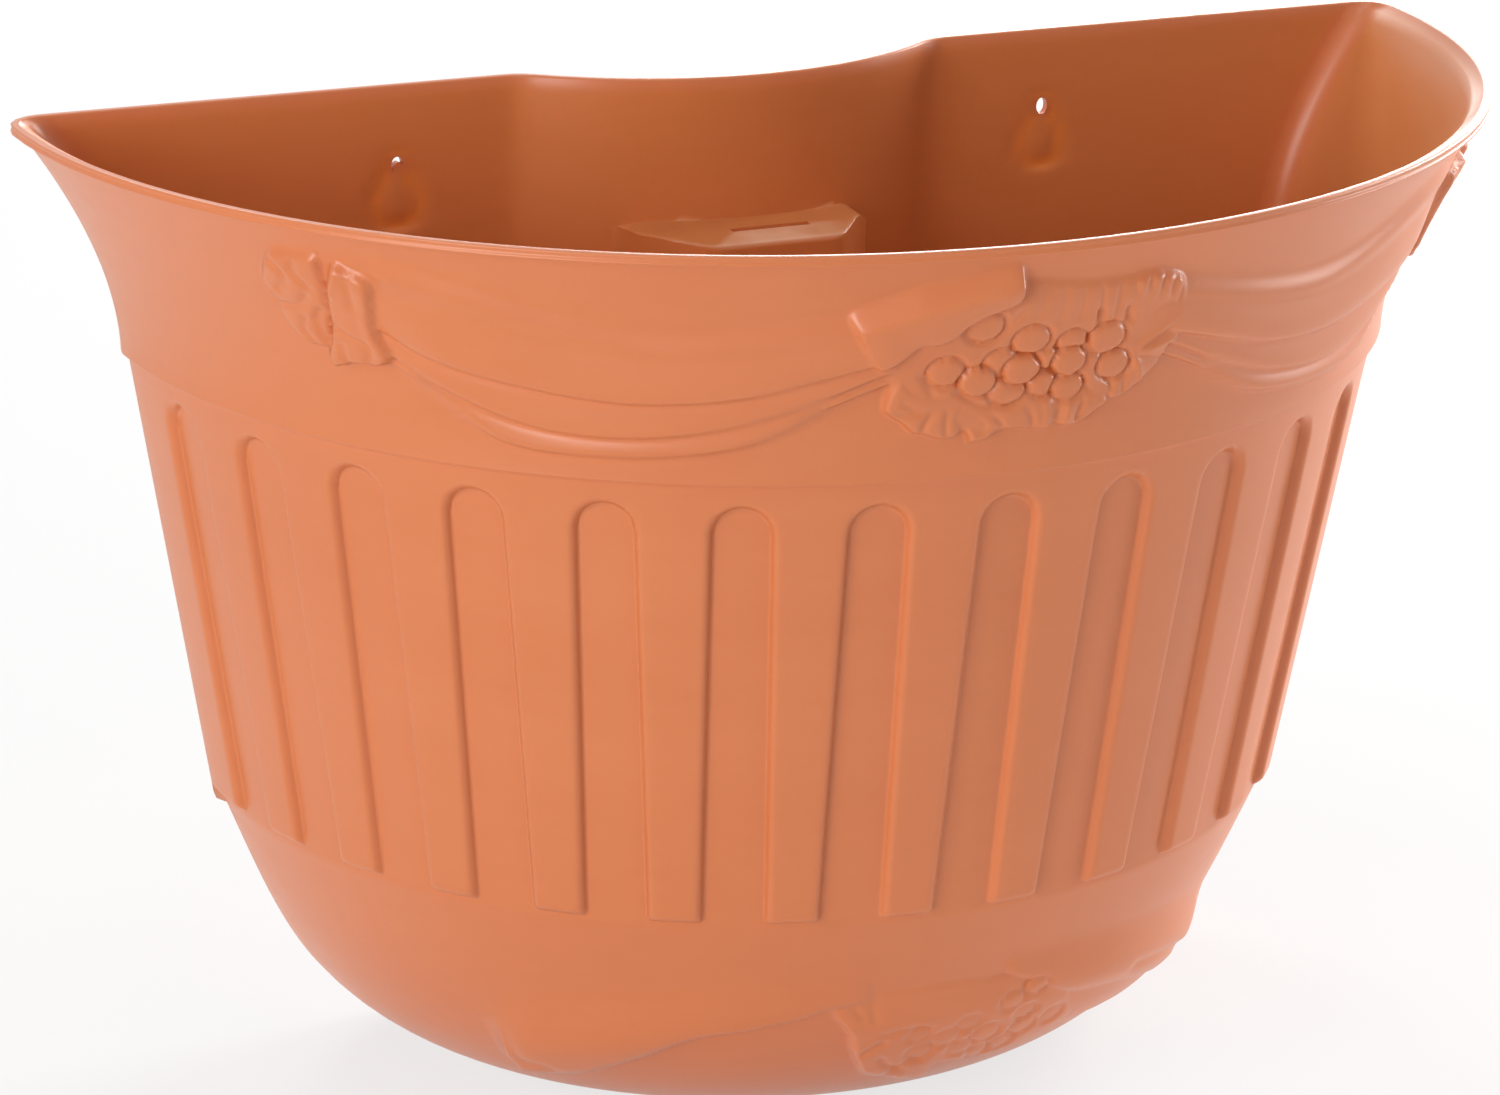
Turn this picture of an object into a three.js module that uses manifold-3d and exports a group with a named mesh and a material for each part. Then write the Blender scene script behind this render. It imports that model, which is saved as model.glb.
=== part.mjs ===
// Half-round wall planter: one thin moulded terracotta-coloured plastic shell with a trumpet collar,
// a fluted body, a bowl-shaped foot, festoons in low relief and push-in drain bungs.
// Millimetres, +Z up. The wall is the plane y = 0 and the planter bulges towards -Y.
// The origin lies on the wall plane, midway between the two hang holes.
import * as THREE from 'three';
import { mergeVertices } from 'three/addons/utils/BufferGeometryUtils.js';
import Module from 'manifold-3d';

// ---------------------------------------------------------------- driving dimensions
const RIM_WIDTH = 400; // across the rim, along the wall
const RIM_DEPTH = 204; // wall to the front of the rim
const HEIGHT = 260; // rim to foot
const WALL = 2.5; // moulded wall thickness

// ---------------------------------------------------------------- proportions of the shell
const HALF_WIDTH = RIM_WIDTH / 2;
const COLLAR_HEIGHT = 0.242 * HEIGHT; // flared collar above the step
const FLUTE_END = 0.723 * HEIGHT; // depth below the rim where the flutes' tongues end
const COLLAR_HALF = 0.8615 * HALF_WIDTH; // half width at the foot of the collar
const COLLAR_DEPTH = 0.9 * RIM_DEPTH;
const BODY_HALF = 0.7465 * HALF_WIDTH; // half width where the tongues end
const BODY_DEPTH = 0.78 * RIM_DEPTH;
const FLARE_POWER = 1.75; // the collar's trumpet curve
const BACK_CORNER = 0.05 * HALF_WIDTH; // rounding of the two upright back corners
const LIP_HEIGHT = 2.3;
const LIP_OUT = 0.8;
const STEP_IN = 1.8; // step under the collar
const GROOVE_DEPTH = 2.4;
const BOWL_TAPER = 0.2; // share of the width that the bowl loses evenly
const BOWL_ROUND = 0.22; // share that it loses in the turn to the foot
const FOOT_RING = 3; // height of the ring that the foot stands on
const FOOT_RING_WIDTH = 7;

// ---------------------------------------------------------------- back wall
const HOLE_SPACING = 0.47 * RIM_WIDTH; // centre to centre of the hang holes
const HOLE_BELOW_RIM = 0.083 * HEIGHT;
const HOLE_WIDTH = 3.2;
const HOLE_HEIGHT = 4.6;
const PAD_WIDTH = 15; // teardrop patch of thinner wall under each hole
const PAD_BELOW_HOLE = 17;
const PAD_SUNK = 1;
const CHANNEL_DEPTH = 0.108 * RIM_DEPTH; // pipe clearance in the back, an arc in plan
const CHANNEL_HALF = 0.2925 * HALF_WIDTH;
const CHANNEL_BLEND = 4; // softens the bends between the channel and the flat panels
const BOSS_BELOW_RIM = 0.148 * HEIGHT; // bracket pocket in the channel
const BOSS_HEIGHT = 0.26 * HEIGHT;
const BOSS_HALF_BACK = 0.165 * HALF_WIDTH;
const BOSS_HALF_FRONT = 0.1 * HALF_WIDTH;
const BOSS_OUT = 0.09 * RIM_DEPTH; // how far it stands into the planter
const BOSS_ROUND = 5;
const SLOT_WIDTH = 21; // slot through the pocket's roof
const SLOT_GAP = 1.6;
const SLOT_OFFSET = 3.5;

// ---------------------------------------------------------------- flutes
const GROOVES = 15;
const GROOVE_PITCH = THREE.MathUtils.degToRad(11.45); // in the ellipse's own angle
const GROOVE_WIDTH_TOP = 14;
const GROOVE_WIDTH_END = 15.5;
const GROOVE_TOP_GAP = 7; // collar step to the arch
const TONGUE_ROUND = 3; // rounding of the tongues' lower corners

// ---------------------------------------------------------------- drain bungs
const BUNG_DIAMETER = 12;
const BUNG_HEAD = 18;
const BUNG_HEAD_THICK = 2;
const BUNG_CLEARANCE = 0.3;
const BUNG_SPREAD = 0.5 * BODY_HALF * (1 - BOWL_TAPER - BOWL_ROUND); // side bungs from the centre plane
const BUNG_FORWARD = CHANNEL_DEPTH + 0.28 * BODY_DEPTH * (1 - BOWL_TAPER - BOWL_ROUND); // bungs from the wall

const RIM_Z = HOLE_BELOW_RIM;
const STEP_Z = RIM_Z - COLLAR_HEIGHT;
const END_Z = RIM_Z - FLUTE_END;
const TONGUE_END_Z = END_Z + 1.5;
const FOOT_Z = RIM_Z - HEIGHT;
const FLOOR_Z = FOOT_Z + FOOT_RING + WALL; // top of the planter's floor
const FRONT_STEPS = 48; // facets of the half-round front
const CORNER_STEPS = 3;
const CUT_TOLERANCE = 0.05; // slivers thinner than this are closed up where solids are cut
const HOLLOW_OVER = 5; // how far cutters run past what they cut

const wasm = await Module();
wasm.setup();

// ---------------------------------------------------------------- solids
/** Turns a closed three.js geometry into a manifold solid. */
function solid(geometry) {
  const bare = geometry.index ? geometry.toNonIndexed() : geometry.clone();
  bare.deleteAttribute('normal');
  bare.deleteAttribute('uv');
  const merged = mergeVertices(bare, 1e-4);
  return new wasm.Manifold(new wasm.Mesh({
    numProp: 3,
    vertProperties: new Float32Array(merged.attributes.position.array),
    triVerts: new Uint32Array(merged.index.array),
    tolerance: CUT_TOLERANCE,
  }));
}

/** Turns a manifold solid back into a three.js geometry. */
function geometryOf(manifold) {
  const mesh = manifold.getMesh();
  const geometry = new THREE.BufferGeometry();
  geometry.setAttribute('position', new THREE.BufferAttribute(new Float32Array(mesh.vertProperties), 3));
  geometry.setIndex(new THREE.BufferAttribute(new Uint32Array(mesh.triVerts), 1));
  geometry.computeVertexNormals();
  return geometry;
}

/** A closed solid through rings of equal length, with flat ends. */
function loft(rings, capPlane = (p) => new THREE.Vector2(p.x, p.y)) {
  const count = rings[0].length;
  const positions = rings.flat().flatMap((p) => [p.x, p.y, p.z]);
  const faces = [];
  for (let level = 0; level + 1 < rings.length; level += 1) {
    for (let i = 0; i < count; i += 1) {
      const a = level * count + i;
      const b = level * count + ((i + 1) % count);
      faces.push(a, b, b + count, a, b + count, a + count);
    }
  }
  const outline = rings[0].map(capPlane);
  const last = (rings.length - 1) * count;
  for (const cap of THREE.ShapeUtils.triangulateShape(outline, [])) {
    const [a, b, c] = THREE.ShapeUtils.isClockWise(outline) ? cap.reverse() : cap;
    faces.push(c, b, a, last + a, last + b, last + c);
  }
  const geometry = new THREE.BufferGeometry();
  geometry.setAttribute('position', new THREE.Float32BufferAttribute(positions, 3));
  geometry.setIndex(faces);
  const body = solid(geometry);
  return body.volume() >= 0 ? body : solid(flipped(geometry));
}

/** The same surface with its faces turned round. */
function flipped(geometry) {
  const index = Array.from(geometry.index.array);
  for (let i = 0; i < index.length; i += 3) {
    [index[i], index[i + 1]] = [index[i + 1], index[i]];
  }
  const turned = geometry.clone();
  turned.setIndex(index);
  return turned;
}

// ---------------------------------------------------------------- the shell's form
/** Larger of two values with the corner between them rounded. */
function softMax(a, b, blend) {
  const h = Math.max(blend - Math.abs(a - b), 0) / blend;
  return Math.max(a, b) + (h * h * blend) / 4;
}

/** Outer half width and depth at a height, on the collar or on the flutes' tongues. */
function outerSize(z) {
  if (z >= STEP_Z) {
    const rise = ((z - STEP_Z) / COLLAR_HEIGHT) ** FLARE_POWER;
    return [
      COLLAR_HALF + (HALF_WIDTH - LIP_OUT - COLLAR_HALF) * rise,
      COLLAR_DEPTH + (RIM_DEPTH - LIP_OUT - COLLAR_DEPTH) * rise,
    ];
  }
  const fall = (STEP_Z - z) / (STEP_Z - END_Z);
  return [
    THREE.MathUtils.lerp(COLLAR_HALF - STEP_IN, BODY_HALF, fall),
    THREE.MathUtils.lerp(COLLAR_DEPTH - STEP_IN, BODY_DEPTH, fall),
  ];
}

/** Outer half width and depth of the collar, the groove floors and the bowl. */
function coreSize(z) {
  if (z >= STEP_Z) return outerSize(z);
  if (z >= END_Z) return outerSize(z).map((size) => size - GROOVE_DEPTH);
  const down = Math.min((END_Z - z) / (END_Z - FOOT_Z), 1);
  const share = 1 - BOWL_TAPER * down - BOWL_ROUND * (1 - Math.sqrt(1 - down ** 4));
  return [(BODY_HALF - GROOVE_DEPTH) * share, (BODY_DEPTH - GROOVE_DEPTH) * share];
}

/** Outer half width and depth of the groove floors right under the collar's step. */
const neckSize = () => [COLLAR_HALF - STEP_IN - GROOVE_DEPTH, COLLAR_DEPTH - STEP_IN - GROOVE_DEPTH];

/** How far the back wall stands off the wall plane, with the pipe channel in its middle. */
function backLine(x, inset) {
  const radius = (CHANNEL_HALF ** 2 + CHANNEL_DEPTH ** 2) / (2 * CHANNEL_DEPTH);
  const arc = Math.sqrt(Math.max((radius + inset) ** 2 - x * x, 0)) - (radius - CHANNEL_DEPTH);
  return softMax(inset, arc, CHANNEL_BLEND);
}

/** D-shaped ring: the half-round front, two rounded corners and the back line with its channel. */
function ring(half, depth, z, inset = 0) {
  const corner = BACK_CORNER;
  const points = [];
  for (let i = 0; i <= FRONT_STEPS; i += 1) {
    const angle = Math.PI * (i / FRONT_STEPS - 0.5);
    points.push([half * Math.sin(angle), -corner - (depth - corner) * Math.cos(angle)]);
  }
  const reach = corner - inset;
  for (let i = 1; i <= CORNER_STEPS; i += 1) {
    const angle = (Math.PI / 2) * (i / CORNER_STEPS);
    points.push([half - reach + reach * Math.cos(angle), -corner + reach * Math.sin(angle)]);
  }
  const flank = CHANNEL_HALF + 1.5 * CHANNEL_BLEND;
  const spots = 12;
  for (let i = 0; i <= spots; i += 1) {
    const x = flank * (1 - (2 * i) / spots);
    points.push([x, -backLine(x, inset)]);
  }
  for (let i = CORNER_STEPS; i >= 1; i -= 1) {
    const angle = (Math.PI / 2) * (i / CORNER_STEPS);
    points.push([-(half - reach + reach * Math.cos(angle)), -corner + reach * Math.sin(angle)]);
  }
  return points.map(([x, y]) => new THREE.Vector3(x, y, z));
}

/** Half width, depth and height of a level moved out of the surface, square to its slope. */
function offsetLevel(z, off, size) {
  const step = 0.5;
  const here = size(z);
  const beneath = size(z - step);
  const slope = (here[0] - beneath[0] + here[1] - beneath[1]) / (2 * step);
  const length = Math.hypot(1, slope);
  return [here[0] + off / length, here[1] + off / length, z - (off * slope) / length];
}

/** A point at an angle round from the front and at a height, moved out of the surface by a bit. */
function onSurface(angle, z, off, size = outerSize) {
  const [half, depth, height] = offsetLevel(z, off, size);
  return new THREE.Vector3(
    half * Math.sin(angle),
    -BACK_CORNER - (depth - BACK_CORNER) * Math.cos(angle),
    height,
  );
}

const range = (from, to, steps) => Array.from({ length: steps + 1 }, (_, i) => from + ((to - from) * i) / steps);

/** Heights of the core's rings, closer where the profile bends. */
const COLLAR_LEVELS = range(1, 0, 7).map((t) => STEP_Z + COLLAR_HEIGHT * t ** 0.8);
const BOWL_LEVELS = range(0, 1, 8).map((t) => END_Z - (END_Z - FOOT_Z) * Math.sin((t * Math.PI) / 2));

/** Collar, groove floors and bowl as one plain outer form. */
function makeCore() {
  const rings = [
    ring(HALF_WIDTH, RIM_DEPTH, RIM_Z),
    ring(HALF_WIDTH, RIM_DEPTH, RIM_Z - LIP_HEIGHT),
  ];
  for (const z of COLLAR_LEVELS.filter((level) => level < RIM_Z - LIP_HEIGHT)) {
    rings.push(ring(...outerSize(z), z));
  }
  rings.push(ring(...neckSize(), STEP_Z));
  for (const z of BOWL_LEVELS) {
    rings.push(ring(...coreSize(z), z));
  }
  return loft(rings);
}

/** The hollow: the core's form moved in by the wall thickness along its slope. */
function makeHollow() {
  const inward = (z) => ring(...offsetLevel(z, -WALL, coreSize), WALL);
  const top = inward(RIM_Z).map((p) => p.clone().setZ(RIM_Z + HOLLOW_OVER));
  const rings = [top];
  for (const z of COLLAR_LEVELS.filter((level) => level > STEP_Z + WALL)) {
    rings.push(inward(z));
  }
  rings.push(ring(...neckSize().map((size) => size - WALL), STEP_Z - WALL, WALL));
  for (const z of BOWL_LEVELS) {
    const level = inward(z);
    if (level[0].z > FLOOR_Z + 1) rings.push(level);
  }
  const base = rings[rings.length - 1];
  const shrink = 1 - (0.6 * (base[0].z - FLOOR_Z)) / coreSize(base[0].z)[0];
  rings.push(base.map((p) => new THREE.Vector3(p.x * shrink, p.y, FLOOR_Z)));
  return loft(rings);
}

/** Half width of a groove at a share of its length below the arch. */
function grooveHalf(share) {
  return THREE.MathUtils.lerp(GROOVE_WIDTH_TOP, GROOVE_WIDTH_END, share) / 2;
}

/** One groove's cutter: an arched slot outline pushed through the tongues. */
function makeGroove(index) {
  const top = STEP_Z - GROOVE_TOP_GAP;
  const radius = grooveHalf(0);
  const spring = top - radius;
  const outline = [];
  const archSteps = 8;
  for (let i = 0; i <= archSteps; i += 1) {
    const turn = Math.PI * (i / archSteps);
    outline.push([radius * Math.cos(turn), spring + radius * Math.sin(turn)]);
  }
  const foot = grooveHalf(1);
  const left = [
    [-foot, TONGUE_END_Z + TONGUE_ROUND],
    [-foot - 0.3 * TONGUE_ROUND, TONGUE_END_Z + 0.3 * TONGUE_ROUND],
    [-foot - TONGUE_ROUND, TONGUE_END_Z - 0.2],
    [-foot - TONGUE_ROUND, END_Z - HOLLOW_OVER],
  ];
  outline.push(...left, ...left.map(([x, z]) => [-x, z]).reverse());
  const angle = (index - (GROOVES - 1) / 2) * GROOVE_PITCH;
  const place = ([x, z], off) => {
    const [half, depth] = outerSize(z);
    const pace = Math.hypot(half * Math.cos(angle), (depth - BACK_CORNER) * Math.sin(angle));
    return onSurface(angle + x / pace, z, off);
  };
  const draft = 0.5; // the groove's sides lean, so it is wider outside
  const outer = outline.map(([x, z]) => place([x * (1 + draft / radius), z], HOLLOW_OVER));
  const inner = outline.map((p) => place(p, -GROOVE_DEPTH - 1));
  const flat = outline.map(([x, z]) => new THREE.Vector2(x, z));
  return loft([outer, inner], (_, i) => flat[i]);
}

/** The band of raised tongues, with the grooves cut through it. */
function makeTongues() {
  const inset = WALL / 2; // keeps the band's back inside the back wall
  const top = [COLLAR_HALF - STEP_IN, COLLAR_DEPTH - STEP_IN];
  const band = loft([
    ring(...top, STEP_Z + 1, inset),
    ring(...outerSize(TONGUE_END_Z), TONGUE_END_Z, inset),
  ]);
  let cut = band;
  for (let i = 0; i < GROOVES; i += 1) {
    cut = cut.subtract(makeGroove(i));
  }
  return cut;
}

// ---------------------------------------------------------------- back wall details
/** Rounded trapezoid tapering away from the wall: the bracket pocket's outside or inside. */
function makePocket(inset, backY) {
  const top = RIM_Z - BOSS_BELOW_RIM;
  const frontY = -(CHANNEL_DEPTH + WALL + BOSS_OUT);
  const levels = [
    { y: backY, share: 1 },
    { y: -(CHANNEL_DEPTH + WALL), share: 1 },
    { y: frontY + BOSS_ROUND / 2 + inset, share: 0.25 },
    { y: frontY + inset, share: 0 },
  ];
  const rings = levels.map(({ y, share }, level) => {
    const tuck = level === levels.length - 1 ? BOSS_ROUND / 2 : 0;
    const half = THREE.MathUtils.lerp(BOSS_HALF_FRONT, BOSS_HALF_BACK, share) - inset - tuck;
    const head = top - 3 * (1 - share) - inset - tuck;
    const tail = top - BOSS_HEIGHT + 0.35 * BOSS_HEIGHT * (1 - share) + inset + tuck;
    const r = Math.max(BOSS_ROUND - inset, 1);
    const points = [];
    for (const [sx, sz, from] of [[1, 1, 0], [-1, 1, 90], [-1, -1, 180], [1, -1, 270]]) {
      for (let i = 0; i <= 3; i += 1) {
        const turn = THREE.MathUtils.degToRad(from + 30 * i);
        const z = sz > 0 ? head - r : tail + r;
        points.push(new THREE.Vector3(sx * (half - r) + r * Math.cos(turn), y, z + r * Math.sin(turn)));
      }
    }
    return points;
  });
  return loft(rings, (p) => new THREE.Vector2(p.x, p.z));
}

/** A prism through the back wall from an outline in its plane. */
function throughBack(outline, fromY, toY) {
  const shape = new THREE.Shape(outline.map(([x, z]) => new THREE.Vector2(x, z)));
  const geometry = new THREE.ExtrudeGeometry(shape, { depth: toY - fromY, bevelEnabled: false });
  geometry.rotateX(Math.PI / 2);
  geometry.translate(0, toY, 0);
  return solid(geometry);
}

/** Points of an ellipse in the wall plane. */
function ellipse(x, z, width, height, steps = 16) {
  return range(0, steps - 1, steps - 1).map((i) => {
    const turn = (2 * Math.PI * i) / steps;
    return [x + (width / 2) * Math.cos(turn), z + (height / 2) * Math.sin(turn)];
  });
}

/** Teardrop outline: a point at the hang hole and a round foot. */
function teardrop(x, z) {
  const radius = PAD_WIDTH / 2;
  const centre = z - PAD_BELOW_HOLE + radius;
  const points = range(-200, 20, 12).map((degrees) => {
    const turn = THREE.MathUtils.degToRad(degrees);
    return [x + radius * Math.cos(turn), centre + radius * Math.sin(turn)];
  });
  points.push([x + 2.4, z + 2], [x, z + HOLE_HEIGHT / 2 + 1.4], [x - 2.4, z + 2]);
  return points;
}

/** Both hang holes with their thin teardrop patches; the left hole is partly closed by its tab. */
function makeHangCuts() {
  const cuts = [];
  for (const side of [-1, 1]) {
    const x = (side * HOLE_SPACING) / 2;
    let hole = throughBack(ellipse(x, 0, HOLE_WIDTH, HOLE_HEIGHT), -WALL - HOLLOW_OVER, HOLLOW_OVER);
    if (side < 0) {
      const tab = ellipse(x + 0.4, -1.5, HOLE_WIDTH, HOLE_HEIGHT);
      hole = hole.subtract(throughBack(tab, -WALL - 2 * HOLLOW_OVER, 2 * HOLLOW_OVER));
    }
    cuts.push(hole);
    cuts.push(throughBack(teardrop(x, 0), -WALL - 0.5, -WALL + PAD_SUNK));
  }
  return cuts;
}

// ---------------------------------------------------------------- festoons in relief
const DEG = Math.PI / 180;
const BELOW_RIM = HEIGHT / 260; // relief heights are set for a 260 mm planter

/** Height of a point given in millimetres below the rim of a 260 mm planter. */
const below = (depth) => RIM_Z - depth * BELOW_RIM;

/** A closed low-relief sheet over the surface: u runs along it and v from its top edge to its lower edge. */
function reliefSheet(spot, uSteps, vSteps, size = outerSize) {
  const sink = -1.5;
  const backSteps = 4;
  const rings = range(0, 1, uSteps).map((u) => {
    const face = range(0, 1, vSteps).map((v) => {
      const { angle, z, height } = spot(u, v);
      return onSurface(angle, z, height, size);
    });
    const back = range(1, 0, backSteps).map((v) => {
      const { angle, z } = spot(u, v);
      return onSurface(angle, z, sink, size);
    });
    return [...face, ...back];
  });
  // the ends are triangulated as a lens, so that no three of their points are in line
  return loft(rings, (p, i) => {
    const onFace = i <= vSteps;
    const across = onFace ? i / vSteps : (vSteps + 1 + backSteps - i) / backSteps;
    const bulge = 1 + Math.sin(Math.PI * across);
    return new THREE.Vector2(across, onFace ? bulge : -bulge);
  });
}

/** A hanging swag of cloth between the middle and a side cluster, in three folds. */
function makeSwag(side) {
  const from = 9 * DEG;
  const to = 54 * DEG;
  const folds = 3;
  return reliefSheet((u, v) => {
    const sag = Math.sin(Math.PI * u) ** 0.8;
    const top = 13 + 9 * sag;
    const bottom = 36 + 6 * u + 17 * sag;
    const pleat = Math.sqrt(Math.abs(Math.sin(folds * Math.PI * v)));
    const edge = Math.min(1, 3 * v) * Math.min(1, 12 * (1 - v));
    return {
      angle: side * THREE.MathUtils.lerp(from, to, u),
      z: below(THREE.MathUtils.lerp(top, bottom, v)),
      height: -0.7 + edge * (1.1 + (0.9 + 0.8 * v) * pleat),
    };
  }, 14, 12);
}

/** A cloth tail on the bowl, from the lower cluster out to its hanging corner. */
function makeTail(side) {
  return reliefSheet((u, v) => {
    const top = THREE.MathUtils.lerp(206, 212, u);
    const bottom = THREE.MathUtils.lerp(214, 245, u ** 1.4);
    return {
      angle: side * THREE.MathUtils.lerp(8, 50, u) * DEG,
      z: below(THREE.MathUtils.lerp(top, bottom, v)),
      height: -0.7 + (1.2 + 2.6 * u) * Math.sin(0.5 * Math.PI * v) * Math.min(1, 6 * (1 - v)),
    };
  }, 12, 6, coreSize);
}

/** Fruit places in a cluster, in millimetres right of and above its middle. */
const FRUITS = [
  [-15, 9], [-4, 12], [9, 9], [20, 11], [30, 6], [-22, 0], [-12, 1], [-1, 2], [10, -1],
  [21, 0], [-17, -8], [-6, -8], [5, -10], [17, -9], [0, -17],
];
const FRUIT_RADIUS = 5.2;

/** Height of a fruit cluster above the surface at a place in its own plane, at full size. */
function clusterHeight(x, y, halfWide, halfHigh) {
  const out = Math.hypot(x / halfWide, y / halfHigh);
  const mound = 1.2 + 2.2 * Math.max(1 - out * out, 0);
  const fruit = Math.max(...FRUITS.map(([fx, fy]) => {
    const near = Math.hypot(x - fx, y - fy) / FRUIT_RADIUS;
    return near < 1 ? 2.2 * Math.sqrt(1 - near * near) : 0;
  }));
  return mound + fruit;
}

/** A cluster of fruits on leaves whose outline is scalloped. */
function makeCluster({ angle, depth, scale, steps, size }) {
  const halfWide = 38;
  const halfHigh = 22;
  const lobes = 5;
  const [half, deep] = size(below(depth));
  const pace = Math.hypot(half * Math.cos(angle), deep * Math.sin(angle));
  return reliefSheet((u, v) => {
    const x = halfWide * (2 * u - 1);
    const round = Math.sqrt(Math.max(1 - (2 * u - 1) ** 2, 0.12));
    const scallop = 1 + 0.08 * Math.cos(lobes * 2 * Math.PI * u);
    const y = halfHigh * round * scallop * (1 - 2 * v);
    const rim = v === 0 || v === 1 || u === 0 || u === 1;
    return {
      angle: angle + (scale * x) / pace,
      z: below(depth - scale * y),
      height: rim ? -0.8 : scale ** 0.5 * clusterHeight(x, y, halfWide, halfHigh),
    };
  }, steps[0], steps[1], size);
}

const CLUSTERS = [
  { angle: 0, depth: 33, scale: 1, steps: [26, 16], size: outerSize },
  { angle: -56 * DEG, depth: 25, scale: 0.62, steps: [12, 10], size: outerSize },
  { angle: 56 * DEG, depth: 25, scale: 0.62, steps: [12, 10], size: outerSize },
  { angle: 2 * DEG, depth: 229, scale: 0.8, steps: [20, 12], size: coreSize },
];

/** The tied end of the cloth that lies over the middle cluster's upper left. */
function makeFlap() {
  return reliefSheet((u, v) => ({
    angle: THREE.MathUtils.lerp(-14.5, -2.5, u) * DEG,
    z: below(THREE.MathUtils.lerp(16 - 11 * u, 31 - 18 * u, v)),
    height: v === 0 || v === 1 || u === 0 || u === 1 ? -0.8 : 4.2 + 0.8 * Math.sin(Math.PI * v),
  }), 6, 4);
}

/** Every raised ornament as one list of solids. */
function makeRelief() {
  return [makeFlap(), ...[-1, 1].flatMap((side) => [makeSwag(side), makeTail(side)]), ...CLUSTERS.map(makeCluster)];
}

// ---------------------------------------------------------------- drain
/** The drain hole that a bung sits in. */
function makeDrainHole(x) {
  const [low, high] = [FOOT_Z, FLOOR_Z + 1];
  const radius = BUNG_DIAMETER / 2 + BUNG_CLEARANCE;
  const geometry = new THREE.CylinderGeometry(radius, radius, high - low, 24);
  geometry.rotateX(Math.PI / 2);
  geometry.translate(x, -BUNG_FORWARD, (low + high) / 2);
  return solid(geometry);
}

/** The shallow recess that leaves a ring under the foot. */
function makeFootRecess() {
  const [half, depth] = coreSize(FOOT_Z);
  const level = (z) => ring(half - FOOT_RING_WIDTH, depth - FOOT_RING_WIDTH, z, FOOT_RING_WIDTH);
  return loft([level(FOOT_Z + FOOT_RING), level(FOOT_Z - HOLLOW_OVER)]);
}

const BUNGS = [
  ['drain_bung_left', -BUNG_SPREAD],
  ['drain_bung_middle', 0],
  ['drain_bung_right', BUNG_SPREAD],
];

/** A push-in bung: a turned plug with a head inside the planter and a lead-in at its tip. */
function makeBung() {
  const r = BUNG_DIAMETER / 2;
  const tip = FOOT_Z + FOOT_RING + 0.3 - FLOOR_Z;
  const profile = [
    [0, tip],
    [r - 1, tip],
    [r, tip + 1],
    [r, BUNG_CLEARANCE],
    [BUNG_HEAD / 2 - 0.5, BUNG_CLEARANCE],
    [BUNG_HEAD / 2, BUNG_CLEARANCE + 0.6],
    [BUNG_HEAD / 2 - 1, BUNG_CLEARANCE + BUNG_HEAD_THICK],
    [3, BUNG_CLEARANCE + BUNG_HEAD_THICK],
    [2.4, BUNG_CLEARANCE + BUNG_HEAD_THICK + 4],
    [0, BUNG_CLEARANCE + BUNG_HEAD_THICK + 4],
  ].map(([x, z]) => new THREE.Vector2(x, z));
  const geometry = new THREE.LatheGeometry(profile, 24);
  geometry.rotateX(Math.PI / 2);
  return geometryOf(solid(geometry));
}

// ---------------------------------------------------------------- assembly
/** The whole moulding. */
function makeShell() {
  const outside = wasm.Manifold.union([makeCore(), makeTongues(), ...makeRelief()]);
  const hollow = makeHollow().subtract(makePocket(0, -CHANNEL_DEPTH / 2));
  const slot = new THREE.BoxGeometry(SLOT_WIDTH, SLOT_GAP, 6 * WALL);
  slot.translate(SLOT_OFFSET, -(CHANNEL_DEPTH + WALL + 0.32 * BOSS_OUT), RIM_Z - BOSS_BELOW_RIM);
  const cuts = [
    hollow,
    makePocket(WALL, HOLLOW_OVER),
    solid(slot),
    makeFootRecess(),
    ...makeHangCuts(),
    ...BUNGS.map(([, x]) => makeDrainHole(x)),
  ];
  return geometryOf(outside.subtract(wasm.Manifold.union(cuts)));
}

const terracotta = new THREE.MeshStandardMaterial({ color: 0xc4744c, roughness: 0.42, metalness: 0 });
const bungPlastic = new THREE.MeshStandardMaterial({ color: 0x9c5a3a, roughness: 0.5, metalness: 0 });

/** Adds a named piece to the planter. */
function addPiece(group, name, geometry, material) {
  const mesh = new THREE.Mesh(geometry, material);
  mesh.name = name;
  group.add(mesh);
  return mesh;
}

const planter = new THREE.Group();
addPiece(planter, 'planter_shell', makeShell(), terracotta);
for (const [name, x] of BUNGS) {
  const bung = addPiece(planter, name, makeBung(), bungPlastic);
  bung.position.set(x, -BUNG_FORWARD, FLOOR_Z);
}

export default planter;
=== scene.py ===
"""Half-round wall planter: its moulded shell, its drain bungs and a plain studio.

Lengths are in millimetres until a mesh is made, where MM turns them into metres. +Z is up, the wall is
the plane y = 0, the planter bulges towards -Y, and z = 0 is the level of the two hang holes.
Angles go round the half-round front from its middle, positive towards +X.
"""

from __future__ import annotations

import logging
import math
from collections.abc import Callable, Mapping, Sequence
from dataclasses import dataclass, field
from enum import Enum

import bmesh
import bpy
import numpy as np
from mathutils import Matrix, Vector
from mathutils.geometry import delaunay_2d_cdt

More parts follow.
